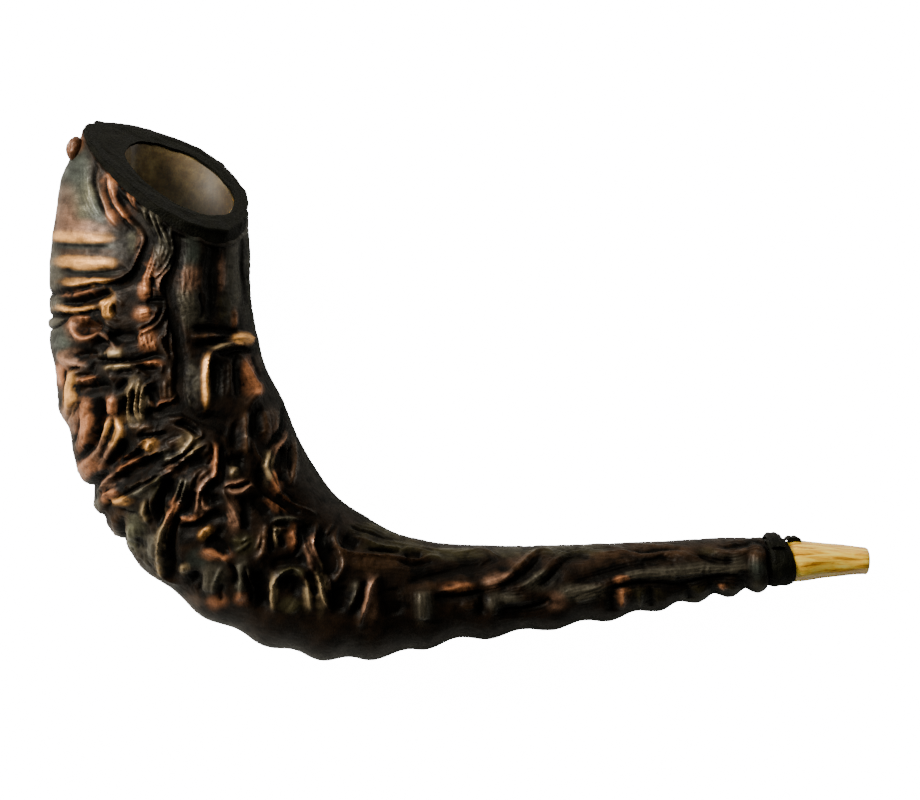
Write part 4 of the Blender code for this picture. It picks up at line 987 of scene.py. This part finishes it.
def makeMottleGroup():  # cloudy, streaky change of tone, about 0.5 in the middle
    group = bpy.data.node_groups.new("cloudyTone", "ShaderNodeTree")
    group.interface.new_socket("Vector", in_out="INPUT", socket_type="NodeSocketVector")
    scale = group.interface.new_socket("Cloud Scale", in_out="INPUT", socket_type="NodeSocketFloat")
    scale.default_value = 60.0
    group.interface.new_socket("Tone", in_out="OUTPUT", socket_type="NodeSocketFloat")
    inside = group.nodes.new("NodeGroupInput")
    out = group.nodes.new("NodeGroupOutput")
    clouds = group.nodes.new("ShaderNodeTexNoise")
    clouds.inputs["Detail"].default_value = 5.0
    clouds.inputs["Distortion"].default_value = 0.4
    link(group, inside.outputs["Vector"], clouds.inputs["Vector"])
    link(group, inside.outputs["Cloud Scale"], clouds.inputs["Scale"])
    link(group, clouds.outputs["Fac"], out.inputs["Tone"])
    return group


grainGroup = makeGrainGroup()
mottleGroup = makeMottleGroup()


def useGroup(tree, group, vector, **values):
    node = tree.nodes.new("ShaderNodeGroup")
    node.node_tree = group
    link(tree, vector, node.inputs["Vector"])
    for key, value in values.items():
        node.inputs[key.replace("_", " ")].default_value = value
    return node


def addBump(tree, shader, height, strength, distance):
    bump = tree.nodes.new("ShaderNodeBump")
    bump.inputs["Strength"].default_value = strength
    bump.inputs["Distance"].default_value = distance
    link(tree, height, bump.inputs["Height"])
    link(tree, bump.outputs["Normal"], shader.inputs["Normal"])


leatherLook = {"pores": 1100.0, "bump": 0.25, "coat": 0.34, "metal": 0.45, "roughHigh": 0.36, "roughLow": 0.55}


def makeLeatherMaterial():
    material, tree, shader = newMaterial("rubbedLeather")
    where = addNode(tree, "ShaderNodeTexCoord").outputs["Object"]
    rub = addNode(tree, "ShaderNodeAttribute", attribute_name="rub")
    crestWearAndShade = addNode(tree, "ShaderNodeAttribute", attribute_name="crestWearAndShade").outputs["Fac"]
    grain = useGroup(tree, grainGroup, where, Pore_Scale=leatherLook["pores"])
    mottle = useGroup(tree, mottleGroup, where, Cloud_Scale=160.0)
    patch = mathNode(tree, "SUBTRACT", mottle.outputs["Tone"], 0.5)
    # the crest mask carries rubbed wear on the crests and painted shade in the creases
    lifted = mathNode(tree, "ADD", crestWearAndShade, mathNode(tree, "MULTIPLY", patch, 0.55), clamp=True)
    lifted = mathNode(tree, "MULTIPLY", lifted, mathNode(tree, "ADD", mathNode(tree, "MULTIPLY", grain.outputs["Pores"], 0.3), 0.72), clamp=True)
    dye = mixColour(tree, mottle.outputs["Tone"], (0.0006, 0.0005, 0.0004), (0.0030, 0.0021, 0.0015))
    # rubbed colour with painted sheen and painted shade, laid over the dark dye on the fold crests
    colour = mixColour(tree, lifted, dye, rub.outputs["Color"])
    link(tree, colour, shader.inputs["Base Color"])
    rough = tree.nodes.new("ShaderNodeMapRange")
    rough.inputs["To Min"].default_value = leatherLook["roughLow"]
    rough.inputs["To Max"].default_value = leatherLook["roughHigh"]
    link(tree, lifted, rough.inputs["Value"])
    link(tree, rough.outputs[0], shader.inputs["Roughness"])
    link(tree, mathNode(tree, "MULTIPLY", lifted, leatherLook["metal"]), shader.inputs["Metallic"])
    link(tree, mathNode(tree, "MULTIPLY", lifted, leatherLook["coat"]), shader.inputs["Coat Weight"])
    shader.inputs["Coat Roughness"].default_value = 0.38
    shader.inputs["Specular IOR Level"].default_value = 0.05
    addBump(tree, shader, grain.outputs["Height"], leatherLook["bump"], 0.0005)
    return material


def makeBlackLeather(name, colour, bare, roughness):
    material, tree, shader = newMaterial(name)
    where = addNode(tree, "ShaderNodeTexCoord").outputs["Object"]
    grain = useGroup(tree, grainGroup, where, Pore_Scale=800.0)
    mottle = useGroup(tree, mottleGroup, where, Cloud_Scale=220.0)
    tone = ramp(tree, mottle.outputs["Tone"], [(0.35, colour), (0.75, bare)])
    link(tree, tone, shader.inputs["Base Color"])
    rough = tree.nodes.new("ShaderNodeMapRange")
    rough.inputs["To Min"].default_value = roughness - 0.12
    rough.inputs["To Max"].default_value = roughness + 0.12
    link(tree, mottle.outputs["Tone"], rough.inputs["Value"])
    link(tree, rough.outputs[0], shader.inputs["Roughness"])
    shader.inputs["Specular IOR Level"].default_value = 0.035
    addBump(tree, shader, grain.outputs["Height"], 0.4, 0.0007)
    return material


hornLook = {"streaks": 42.0, "bump": 0.12}


def makeHornMaterial():  # polished keratin outside, dry mottled horn inside; the attribute bore is 1 in the hollow
    material, tree, shader = newMaterial("ramHornKeratin")
    where = addNode(tree, "ShaderNodeTexCoord").outputs["Object"]
    bore = addNode(tree, "ShaderNodeAttribute", attribute_name="bore").outputs["Fac"]
    along = addNode(tree, "ShaderNodeAttribute", attribute_name="hornUv").outputs["Vector"]
    stretch = addNode(tree, "ShaderNodeMapping")
    stretch.inputs["Scale"].default_value = (8.0, 9.0, 1.0)
    link(tree, along, stretch.inputs["Vector"])
    streak = noiseNode(tree, stretch.outputs["Vector"], 3.2, 6.0, 0.6, 0.9)
    fine = addNode(tree, "ShaderNodeMapping")
    fine.inputs["Scale"].default_value = (30.0, 34.0, 1.0)
    link(tree, along, fine.inputs["Vector"])
    fineStreak = noiseNode(tree, fine.outputs["Vector"], 3.0, 5.0, 0.65, 0.3)
    mottle = useGroup(tree, mottleGroup, where, Cloud_Scale=70.0)
    amber = ramp(tree, streak, [(0.36, (0.27, 0.100, 0.005)), (0.45, (0.70, 0.36, 0.022)), (0.55, (0.90, 0.60, 0.058)), (0.68, (0.96, 0.78, 0.16))])
    amber = mixColour(tree, mathNode(tree, "MULTIPLY", fineStreak, 0.28), amber, (0.56, 0.25, 0.012))
    inner = ramp(tree, mottle.outputs["Tone"], [(0.30, (0.075, 0.045, 0.013)), (0.50, (0.155, 0.102, 0.034)), (0.72, (0.27, 0.195, 0.082))])
    inner = mixColour(tree, mathNode(tree, "MULTIPLY", mathNode(tree, "GREATER_THAN", fineStreak, 0.62), 0.5), inner, (0.12, 0.08, 0.035))
    # painted shade inside the bore: darker deeper in and towards one side
    boreShade = addNode(tree, "ShaderNodeAttribute", attribute_name="boreShade").outputs["Fac"]
    speck = ramp(tree, noiseNode(tree, where, 260.0, 5.0, 0.7), [(0.42, (0.45, 0.38, 0.30)), (0.60, (1.0, 1.0, 1.0))])
    inner = mixColour(tree, 0.8, inner, speck, "MULTIPLY")
    inner = mixColour(tree, mathNode(tree, "POWER", boreShade, 0.9), inner, (0.008, 0.004, 0.0015))
    # painted shade: the horn under the leather is near black, so seam gaps between the pieces read as shadow
    gapShade = addNode(tree, "ShaderNodeAttribute", attribute_name="gapShade").outputs["Fac"]
    link(tree, mixColour(tree, gapShade, mixColour(tree, bore, amber, inner), (0.004, 0.003, 0.002)), shader.inputs["Base Color"])
    rough = tree.nodes.new("ShaderNodeMapRange")
    rough.inputs["To Min"].default_value = 0.24
    rough.inputs["To Max"].default_value = 0.62
    link(tree, bore, rough.inputs["Value"])
    link(tree, rough.outputs[0], shader.inputs["Roughness"])
    shader.inputs["Coat Weight"].default_value = 0.25
    shader.inputs["Coat Roughness"].default_value = 0.12
    shader.inputs["Subsurface Weight"].default_value = 0.12
    shader.inputs["Subsurface Radius"].default_value = (1.0, 0.5, 0.2)
    shader.inputs["Subsurface Scale"].default_value = 0.003
    addBump(tree, shader, mathNode(tree, "ADD", mathNode(tree, "MULTIPLY", streak, 0.5), fineStreak), hornLook["bump"], 0.0006)
    return material


leatherMaterial = makeLeatherMaterial()
facingMaterial = makeBlackLeather("blackFacing", (0.0012, 0.0013, 0.0008), (0.0045, 0.0045, 0.0025), 0.60)
bindingMaterial = makeBlackLeather("blackThong", (0.0016, 0.0017, 0.0013), (0.007, 0.007, 0.0045), 0.50)
hornMaterial = makeHornMaterial()
print("materials made")

hornMesh = {"sides": 120, "step": 0.0036, "unevenness": 0.00045, "flare": 0.0014}


def makeHorn():
    angles = np.arange(hornMesh["sides"]) * 360.0 / hornMesh["sides"]
    outer = np.arange(0.0, hornLength - horn["lipRounding"], hornMesh["step"])
    outer = np.append(outer, hornLength - horn["lipRounding"])
    rings, uv, bore, gapShade, boreShade = [], [], [], [], []

    def add(points, place, inside):
        rings.append(points)
        # painted shade in the hollow: darker deeper in and towards one side
        shade = 0.30 - 0.42 * np.sin(np.radians(angles)) + min(1.0, max(0.0, place - 0.002) / 0.045)
        boreShade.append(np.clip(shade, 0.0, 1.0) if inside else 0.0 * angles)
        # painted shade: horn under the leather, and a little past its end, is marked to be coloured near black so gaps
        # between the pieces read as shadow
        gapShade.append(np.full_like(angles, 1.0 if place < cover["end"] + 0.006 and not inside else 0.0))
        uv.append(np.stack([angles / 360.0, np.full_like(angles, place / hornLength), np.zeros_like(angles)], -1))
        bore.append(np.full_like(angles, inside))

    for place in outer:
        rise = min(1.0, max(0.0, (place - 0.4000) / 0.0035))
        flare = hornMesh["flare"] * rise * max(0.0, 1 - (place - 0.4) / (hornLength - 0.4)) ** 0.9
        flatness = 0.0
        if place > cover["end"]:
            share = min(1.0, (place - cover["end"] - 0.006) / 0.01)
            if share > 0:
                flatness = hornMesh["unevenness"] * share * layeredNoise(angles / 50.0, place * 60.0 + 0 * angles, 0 * angles + 3.0, 5, 2)
                flatness = np.where(angles > 330, flatness * (360 - angles) / 30, flatness) - 0.0001
        add(outsidePoint(np.full_like(angles, place), angles, flatness + flare + 0 * angles), place, 0.0)
    for t in (0.35, 0.7, 0.9, 1.0):  # rounded lip
        place = hornLength - horn["lipRounding"] * (1 - math.sin(t * math.pi / 2))
        drop = horn["lipRounding"] * 0.8 * (1 - math.cos(t * math.pi / 2))
        add(outsidePoint(np.full_like(angles, place), angles, -drop + 0 * angles), place, 0.0)
    inner = np.append(np.arange(hornLength, 0.0, -hornMesh["step"]), 0.0)
    for place in inner:
        dry = 1.0 if place < 0.35 else 0.0
        offset = 0.00025 * layeredNoise(angles / 24.0, place * 90 + 0 * angles, 0 * angles, 9, 2) if 0.004 < place < 0.25 else 0.0
        offset = np.where(angles > 330, offset * (360 - angles) / 30, offset)
        add(hollowPoint(np.full_like(angles, place), angles, offset + 0 * angles), place, dry)
    piece = ringPiece("horn", np.array(rings))
    addAttribute(piece, "bore", np.concatenate(bore))
    addAttribute(piece, "gapShade", np.concatenate(gapShade))
    addAttribute(piece, "boreShade", np.concatenate(boreShade))
    vector = piece.data.attributes.new("hornUv", "FLOAT_VECTOR", "POINT")
    vector.data.foreach_set("vector", np.concatenate(uv).ravel())
    faceOut(piece)
    return ride(piece, hornMaterial, "horn", "ram_horn")


hornPiece = makeHorn()
print("horn made", len(hornPiece.data.polygons))

leather = {
    "step": 0.00055,  # between points on the seen side
    "hiddenStep": 0.0012,
    "base": -0.0006,  # the level between the folds, from the cover's thickness
    "least": 0.0006,  # closest to the horn
    "wrinkle": 0.00028,
    "growth": 0.0013,
    "fullness": 0.0026,
    "edge": 0.0010,
    "lap": 0.0006,
    "ragged": 0.0007,
    "overFacing": 0.0023,
}


def drawnAt(points):  # where a point is in the drawing of the folds, in mm
    scale = (eye[2] - drawHeight) / (eye[2] - points[..., 2])
    x = eye[0] + (points[..., 0] - eye[0]) * scale
    y = eye[1] + (points[..., 1] - eye[1]) * scale
    return x * 1000, y * 1000


def leatherHeight(place, angle):  # height over the bare horn, with the masks for the colour
    thickness = coverThickness(place, angle)
    base = outsidePoint(place, angle, cover["gap"] + thickness)
    x, y = drawnAt(base)
    under = np.clip((np.abs(((angle + 180) % 360) - 180) - 84) / 14, 0, 1)  # 1 on the hidden side
    ridge = readMap(ridgeMap, x, y) * (1 - 0.45 * under)
    crease = readMap(creaseMap, x, y) * (1 - 0.55 * under)
    relief = readMap(reliefMap, x, y) * (1 - 0.5 * under)
    px, py, pz = [base[..., k] * 1000 for k in range(3)]
    warpX = layeredNoise(px / 9, py / 9, pz / 9, 21, 2) * 3.0
    warpY = layeredNoise(px / 9, py / 9, pz / 9, 31, 2) * 3.0
    fine = 1 - 2 * np.abs(layeredNoise((px + warpX) / 3.6, (py + warpY) / 3.6, (pz + warpX) / 3.6, 41, 3))
    coarse = layeredNoise(px / 12, py / 12, pz / 12, 51, 2)
    busy = np.clip(readMap(busyMap, x, y), 0, 1)
    side = np.maximum(0.0, np.sin(np.radians(angle)))
    wrinkle = leather["wrinkle"] * (0.15 + 0.85 * busy) * fine + 0.0004 * coarse * (0.3 + busy) + under * 0.0004 * fine
    growth = leather["growth"] * side * (ringSwell(place) - 0.4) * np.clip(place / 0.1 - 0.6, 0, 1)
    fullness = leather["fullness"] * side * (1 - np.clip((place - 0.16) / 0.09, 0, 1)) * np.clip(place / 0.02, 0, 1)
    lift = leather["base"] + fullness + 0.001 * relief + wrinkle + growth
    return thickness, lift, ridge, crease, fine, busy, x, y, under, warpX


busyMap = softened(np.clip(np.abs(ridgeMap) + creaseMap, 0, 2) / 1.2, 3.0)


def edgeFactor(distance):
    return np.sqrt(np.clip(1 - (1 - np.clip(distance / leather["edge"], 0, 1)) ** 2, 0, 1))


def makeSkin(name, node, start, end, firstEdge, lastEdge, seenFirst, seenLast):
    length = end - start
    rowCount = int(math.ceil(length / leather["step"]))
    places = start + length * np.arange(rowCount + 1) / rowCount
    first, last = firstEdge(places), lastEdge(places)
    radius = (smoothValue(horn["outside"], 1, places) + smoothValue(horn["outside"], 2, places)) / 2 + 0.003
    spans = []
    marks = [first, np.clip(np.full_like(first, seenFirst), first, last), np.clip(np.full_like(first, seenLast), first, last), last]
    for i, step in enumerate((leather["hiddenStep"], leather["step"], leather["hiddenStep"])):
        widest = (np.radians(marks[i + 1] - marks[i]) * radius).max()
        count = int(math.ceil(widest / step)) if widest > 0.0005 else 0
        if count:
            t = np.arange(count) / count
            spans.append(marks[i][:, None] + (marks[i + 1] - marks[i])[:, None] * t[None])
    spans.append(last[:, None])
    angles = np.hstack(spans)
    place = np.repeat(places[:, None], angles.shape[1], 1)
    drop = np.maximum(0.0, 1.0 - place / horn["cutBlend"])
    ragged = layeredNoise(angles / 7.0, 0 * angles, 0 * angles, 87, 3)
    place = place + drop * (topEdge(angles) - leather["lap"] + leather["ragged"] * ragged)
    thickness, lift, ridge, crease, fine, busy, x, y, under, warpX = leatherHeight(place, angles)
    fromRim = np.where(start == 0.0, places - start, 1.0)
    fromRim = np.minimum(fromRim, np.where(end == cover["end"], end - places, 1.0))[:, None] + 0 * angles
    rim = edgeFactor(fromRim)
    offset = cover["gap"] + np.maximum(leather["least"], (thickness + lift) * (0.35 + 0.65 * rim))
    overFacing = leather["overFacing"] * (1 - np.clip((places - 0.0015) / 0.004, 0, 1))[:, None]
    offset = np.maximum(offset, overFacing * rim)
    taper = np.clip(place / 0.006, 0, 1)
    offset = np.minimum(offset, cover["gap"] + thickness + 0.0008 + 0.004 * taper)
    surface = outsidePoint(place, angles, offset)
    foot = outsidePoint(place, angles, cover["gap"] + 0.0001 + 0 * angles)
    # a border turned down to the horn
    rowsAll = np.concatenate([foot[:1], surface, foot[-1:]], 0)
    left = np.concatenate([foot[:1, :1], foot[:, :1], foot[-1:, :1]], 0)
    right = np.concatenate([foot[:1, -1:], foot[:, -1:], foot[-1:, -1:]], 0)
    points = np.concatenate([left, rowsAll, right], 1)
    piece, row, column = gridPiece(name, points)

    def spread(values):
        values = np.concatenate([values[:1], values, values[-1:]], 0)
        return np.concatenate([values[:, :1], values, values[:, -1:]], 1)[row, column]

    # crest mask: fold crests are lighter as rubbed wear; creases and busily folded areas are darker as painted shade
    ripple = readMap(rippleMap, x, y)
    raised = 0.56 * (ridge - 1.3 * crease) + (0.14 * fine + 0.16 * ripple) * (0.25 + busy)
    level = 0.58 - 0.38 * busy
    crestWearAndShade = np.clip(level + raised, 0, 1)
    # rubbed colour with painted sheen and painted shade, read from the map
    rubSheenShadeColour = readMap(rubSheenShadeMap, x, y)
    strength = readMap(rubbed, x, y)
    patchy = layeredNoise(x / 3.1 + warpX / 4, y / 2.2, 0 * x, 95, 3)
    crestWearAndShade = np.clip(crestWearAndShade + 0.16 * patchy, 0, 1) ** 1.6 * (0.42 + 0.58 * strength)
    plain = np.array([0.012, 0.009, 0.006])
    colour = rubSheenShadeColour * (1 - under[..., None]) + plain * under[..., None]
    addAttribute(piece, "crestWearAndShade", spread(crestWearAndShade))
    addAttribute(piece, "rub", spread(colour), "FLOAT_COLOR")
    select(piece)
    bpy.ops.object.shade_smooth_by_angle(angle=math.radians(70))
    ride(piece, leatherMaterial, "cover_leather", node)
    total = sum(face.area for face in piece.data.polygons)
    print(name, "points", points.shape[:2], "area cm2", round(total * 1e4, 1))
    return piece


def front(place):
    return smoothValue(cover["frontSeam"], 1, place)


def back(place):
    return smoothValue(cover["backSeam"], 1, place)


skins = [
    makeSkin("outerCurveSkin", "outer_curve_leather", 0.0, cover["bendSeam"], front, lambda p: back(p) + 360, -95, 96),
    makeSkin("neckSkin", "neck_leather", cover["bendSeam"], cover["end"], front, lambda p: back(p) + 360, -95, 96),
    makeSkin("innerUpperSkin", "inner_curve_upper_leather", 0.0, cover["hem"], back, front, -95, 0),
    makeSkin("innerLowerSkin", "inner_curve_lower_leather", cover["hem"], cover["end"], back, front, -95, 0),
]

facing = {"thickness": 0.0012, "rounding": 0.0008, "sides": 160, "wave": 0.0007, "lumps": 0.0009}


def makeFacing():
    angles = np.arange(facing["sides"]) * 360.0 / facing["sides"]
    zero = np.zeros_like(angles)
    normal = cutNormal()
    gap, thick = cover["gap"], facing["thickness"]
    skirt = topEdge(angles) - gap
    wave = facing["wave"] * layeredNoise(np.cos(np.radians(angles)) * 3 + 9, np.sin(np.radians(angles)) * 3 + 9, zero, 61, 3)
    profile = []
    innerTop = hollowPoint(zero, angles, wave)
    lumps = facing["lumps"] * layeredNoise(np.cos(np.radians(angles)) * 7 + 20, np.sin(np.radians(angles)) * 7 + 20, zero, 65, 3)
    lumps = np.maximum(lumps, -0.0004)
    outerTop = outsidePoint(zero, angles, gap + thick - facing["rounding"] + lumps)
    for t in np.linspace(0, 1, 14):
        bulge = 0.00025 * layeredNoise(angles / 14.0, zero + t * 5, zero, 71, 2)
        bulge = np.where(angles > 340, bulge * (360 - angles) / 20, bulge)
        profile.append(innerTop * (1 - t) + outerTop * t + normal * (gap + thick + bulge * math.sin(t * math.pi))[:, None])
    for t in (0.3, 0.6, 0.85):
        turn = t * math.pi / 2
        out = outsidePoint(zero, angles, gap + thick - facing["rounding"] * (1 - math.sin(turn)) + lumps)
        profile.append(out + normal * (gap + thick) * math.cos(turn))
    for t in (0.0, 0.5, 1.0):
        profile.append(outsidePoint(skirt * t, angles, gap + thick + lumps * (1 - t)))
    profile.append(outsidePoint(skirt, angles, gap + zero))
    profile.append(outsidePoint(zero, angles, gap + zero) + normal * gap)
    profile.append(hollowPoint(zero, angles, wave) + normal * gap)
    piece = ringPiece("rimFacing", np.stack(profile, 1))
    faceOut(piece, 50)
    ride(piece, facingMaterial, "black_leather", "rim_facing")
    print("facing area cm2", round(sum(f.area for f in piece.data.polygons) * 1e4 / 2, 1))
    return piece


facingPiece = makeFacing()

binding = {"thickness": 0.0014, "start": 0.3911, "width": 0.0122, "lean": 0.0034, "crown": 0.0005, "sides": 144}
overlay = {"start": 0.3915, "width": 0.0062, "angles": (-150.0, -35.0)}
tail = {"angles": (-112.0, -70.0), "length": 0.0062, "over": 0.0012}


def turnEnd(angle):
    return binding["start"] + binding["width"] - binding["lean"] * (1.0 - np.sin(np.radians(angle))) / 2


def strapLines(start, end, angle, base, crown, steps=12):  # outline of a strap's section, over it and back under it
    lines = []
    for t in np.linspace(0, 1, steps):
        place = start + (end - start) * t
        rounding = math.sqrt(max(0.0, 1 - abs(2 * t - 1) ** 6))
        lift = binding["thickness"] * (0.35 + 0.65 * rounding) + crown * math.sin(t * math.pi)
        grooves = 0.00022 * np.cos(t * 14.0 + 0.03 * angle) * rounding
        lines.append(outsidePoint(place, angle, base + lift + grooves))
    for t in (1.0, 0.5, 0.0):
        lines.append(outsidePoint(start + (end - start) * t, angle, base + 0 * angle))
    return np.stack(lines, 1)


def makeBinding():
    angles = np.arange(binding["sides"]) * 360.0 / binding["sides"]
    turn = ringPiece("bindingTurn", strapLines(binding["start"] + 0 * angles, turnEnd(angles), angles, cover["gap"], binding["crown"]))
    faceOut(turn, 50)
    ride(turn, bindingMaterial, "black_leather", "binding_turn")
    base = cover["gap"] * 2 + binding["thickness"] + binding["crown"]
    for name, node, span, start, width, under, flat in (
        ("bindingOverlay", "binding_overlay", overlay["angles"], overlay["start"], overlay["width"], base, (0.010, 0.025)),
        ("bindingTail", "binding_tail", tail["angles"], float(turnEnd(np.array([-92.0]))[0]) + cover["gap"], tail["length"], tail["over"], None),
    ):
        angles = np.linspace(span[0], span[1], 48)
        lines = strapLines(start + 0 * angles, start + width + 0 * angles, angles, under, binding["crown"])
        closed = np.concatenate([lines, lines[:, :1]], 1)
        middleStart = closed[:1].mean(1, keepdims=True)
        middleEnd = closed[-1:].mean(1, keepdims=True)
        capped = np.concatenate([np.repeat(middleStart, closed.shape[1], 1), closed, np.repeat(middleEnd, closed.shape[1], 1)], 0)
        piece, _, _ = gridPiece(name, capped)
        select(piece)
        bpy.ops.object.mode_set(mode="EDIT")
        bpy.ops.mesh.select_all(action="SELECT")
        bpy.ops.mesh.remove_doubles(threshold=0.000002)
        bpy.ops.object.mode_set(mode="OBJECT")
        faceOut(piece, 50)
        ride(piece, bindingMaterial, "black_leather", node)
        print(name, "area cm2", round(sum(f.area for f in piece.data.polygons) * 1e4 / 2, 2))
    print("turn area cm2", round(sum(f.area for f in turn.data.polygons) * 1e4 / 2, 2))


makeBinding()

ear = {"angle": 80.0, "drop": 0.0088, "radius": 0.0037, "length": 0.0105, "settle": (0.0030, 0.0006, 0.0)}


def makeEar():
    lowCorner, highCorner = [np.array(corner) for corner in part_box("rim_ear")]
    centre = (lowCorner + highCorner) / 2 + np.array(ear["settle"])
    bpy.ops.object.select_all(action="DESELECT")
    bpy.ops.mesh.primitive_uv_sphere_add(segments=64, ring_count=40, radius=1.0)
    piece = bpy.context.active_object
    piece.name = piece.data.name = "rimEar"
    count = len(piece.data.vertices)
    co = np.zeros(count * 3)
    piece.data.vertices.foreach_get("co", co)
    co = co.reshape(-1, 3)
    one = outsidePoint(np.array([ear["drop"] - 0.005]), np.array([ear["angle"]]), np.array([0.003]))[0]
    two = outsidePoint(np.array([ear["drop"] + 0.005]), np.array([ear["angle"]]), np.array([0.003]))[0]
    along = (two - one) / np.linalg.norm(two - one)
    side = np.cross(along, (0, 0, 1.0))
    side /= np.linalg.norm(side)
    up = np.cross(side, along)
    lump = 1 + 0.10 * layeredNoise(co[:, 0] * 1.6, co[:, 1] * 1.6, co[:, 2] * 1.6, 91, 2)
    roll = 1 - 0.16 * np.exp(-((np.arctan2(co[:, 1], co[:, 0]) - 0.9) / 0.22) ** 2)  # the roll's open edge
    radial = np.stack([co[:, 0], co[:, 1]], -1) * (ear["radius"] * lump * roll)[:, None]
    placed = centre + side * radial[:, :1] + up * radial[:, 1:] + along * (co[:, 2:] * ear["length"] / 2)
    piece.data.vertices.foreach_set("co", placed.ravel())
    piece.data.update()
    # painted light: the ear's crest mask is lighter on one side and darker on the other
    addAttribute(piece, "crestWearAndShade", np.clip(0.5 + 0.5 * co[:, 1] * 0.6 + 0.3 * co[:, 0], 0.15, 0.95))
    colour = np.tile(np.array(rubSheenShadeColours["copper"]) * 0.22, (count, 1))
    addAttribute(piece, "rub", colour, "FLOAT_COLOR")
    faceOut(piece, 60)
    return ride(piece, leatherMaterial, "cover_leather", "rim_ear")


makeEar()
print("pieces made")

studio = {"floor": (0.80, 0.80, 0.80), "world": 0.05, "paper": 16.0}


def makeStudio():
    bpy.ops.object.select_all(action="DESELECT")
    bpy.ops.mesh.primitive_plane_add(size=8.0, location=(0, 0, -0.0008))
    floor = bpy.context.active_object
    floor.name = "studioFloor"
    bpy.ops.object.transform_apply(location=True)
    material, tree, shader = newMaterial("studioPaper")
    shader.inputs["Base Color"].default_value = (*studio["floor"], 1.0)
    shader.inputs["Roughness"].default_value = 0.9
    shader.inputs["Specular IOR Level"].default_value = 0.1
    seen = addNode(tree, "ShaderNodeLightPath").outputs["Is Camera Ray"]
    shader.inputs["Emission Color"].default_value = (1, 1, 1, 1)
    link(tree, mathNode(tree, "MULTIPLY", seen, studio["paper"]), shader.inputs["Emission Strength"])
    floor.data.materials.append(material)
    world = bpy.data.worlds.new("studioAir")
    bpy.context.scene.world = world
    world.use_nodes = True
    background = world.node_tree.nodes["Background"]
    background.inputs["Color"].default_value = (0.96, 1.0, 0.84, 1.0)
    background.inputs["Strength"].default_value = studio["world"]


lamps = [  # name, place, aim, size, watts, colour
    ("keySoftbox", (-1.25, 0.75, 0.95), (-0.05, 0.0, 0.03), 0.50, 70.0, (1.0, 0.94, 0.82)),
    ("topSoftbox", (-0.45, 0.95, 1.25), (0.0, -0.02, 0.03), 0.5, 12.0, (0.98, 1.0, 0.86)),
    ("sideStrip", (-1.4, -0.35, 0.45), (-0.05, 0.0, 0.03), 0.5, 6.0, (0.92, 1.0, 0.86)),
]


def makeLamps():
    for name, place, aim, size, watts, colour in lamps:
        bpy.ops.object.light_add(type="AREA", location=place)
        lamp = bpy.context.active_object
        lamp.name = name
        lamp.data.size = size
        lamp.data.energy = watts
        lamp.data.color = colour
        lamp.rotation_euler = (Vector(aim) - Vector(place)).to_track_quat("-Z", "Y").to_euler()


view = {"place": (-0.003, -0.004, 0.957), "turn": 0.0077, "lens": 85.0}


def makeCamera():
    bpy.ops.object.camera_add(location=view["place"], rotation=(0.0, 0.0, view["turn"]))
    camera = bpy.context.active_object
    camera.data.lens = view["lens"]
    camera.data.sensor_width = 36.0
    bpy.context.scene.camera = camera


makeStudio()
makeLamps()
makeCamera()
print("studio made")
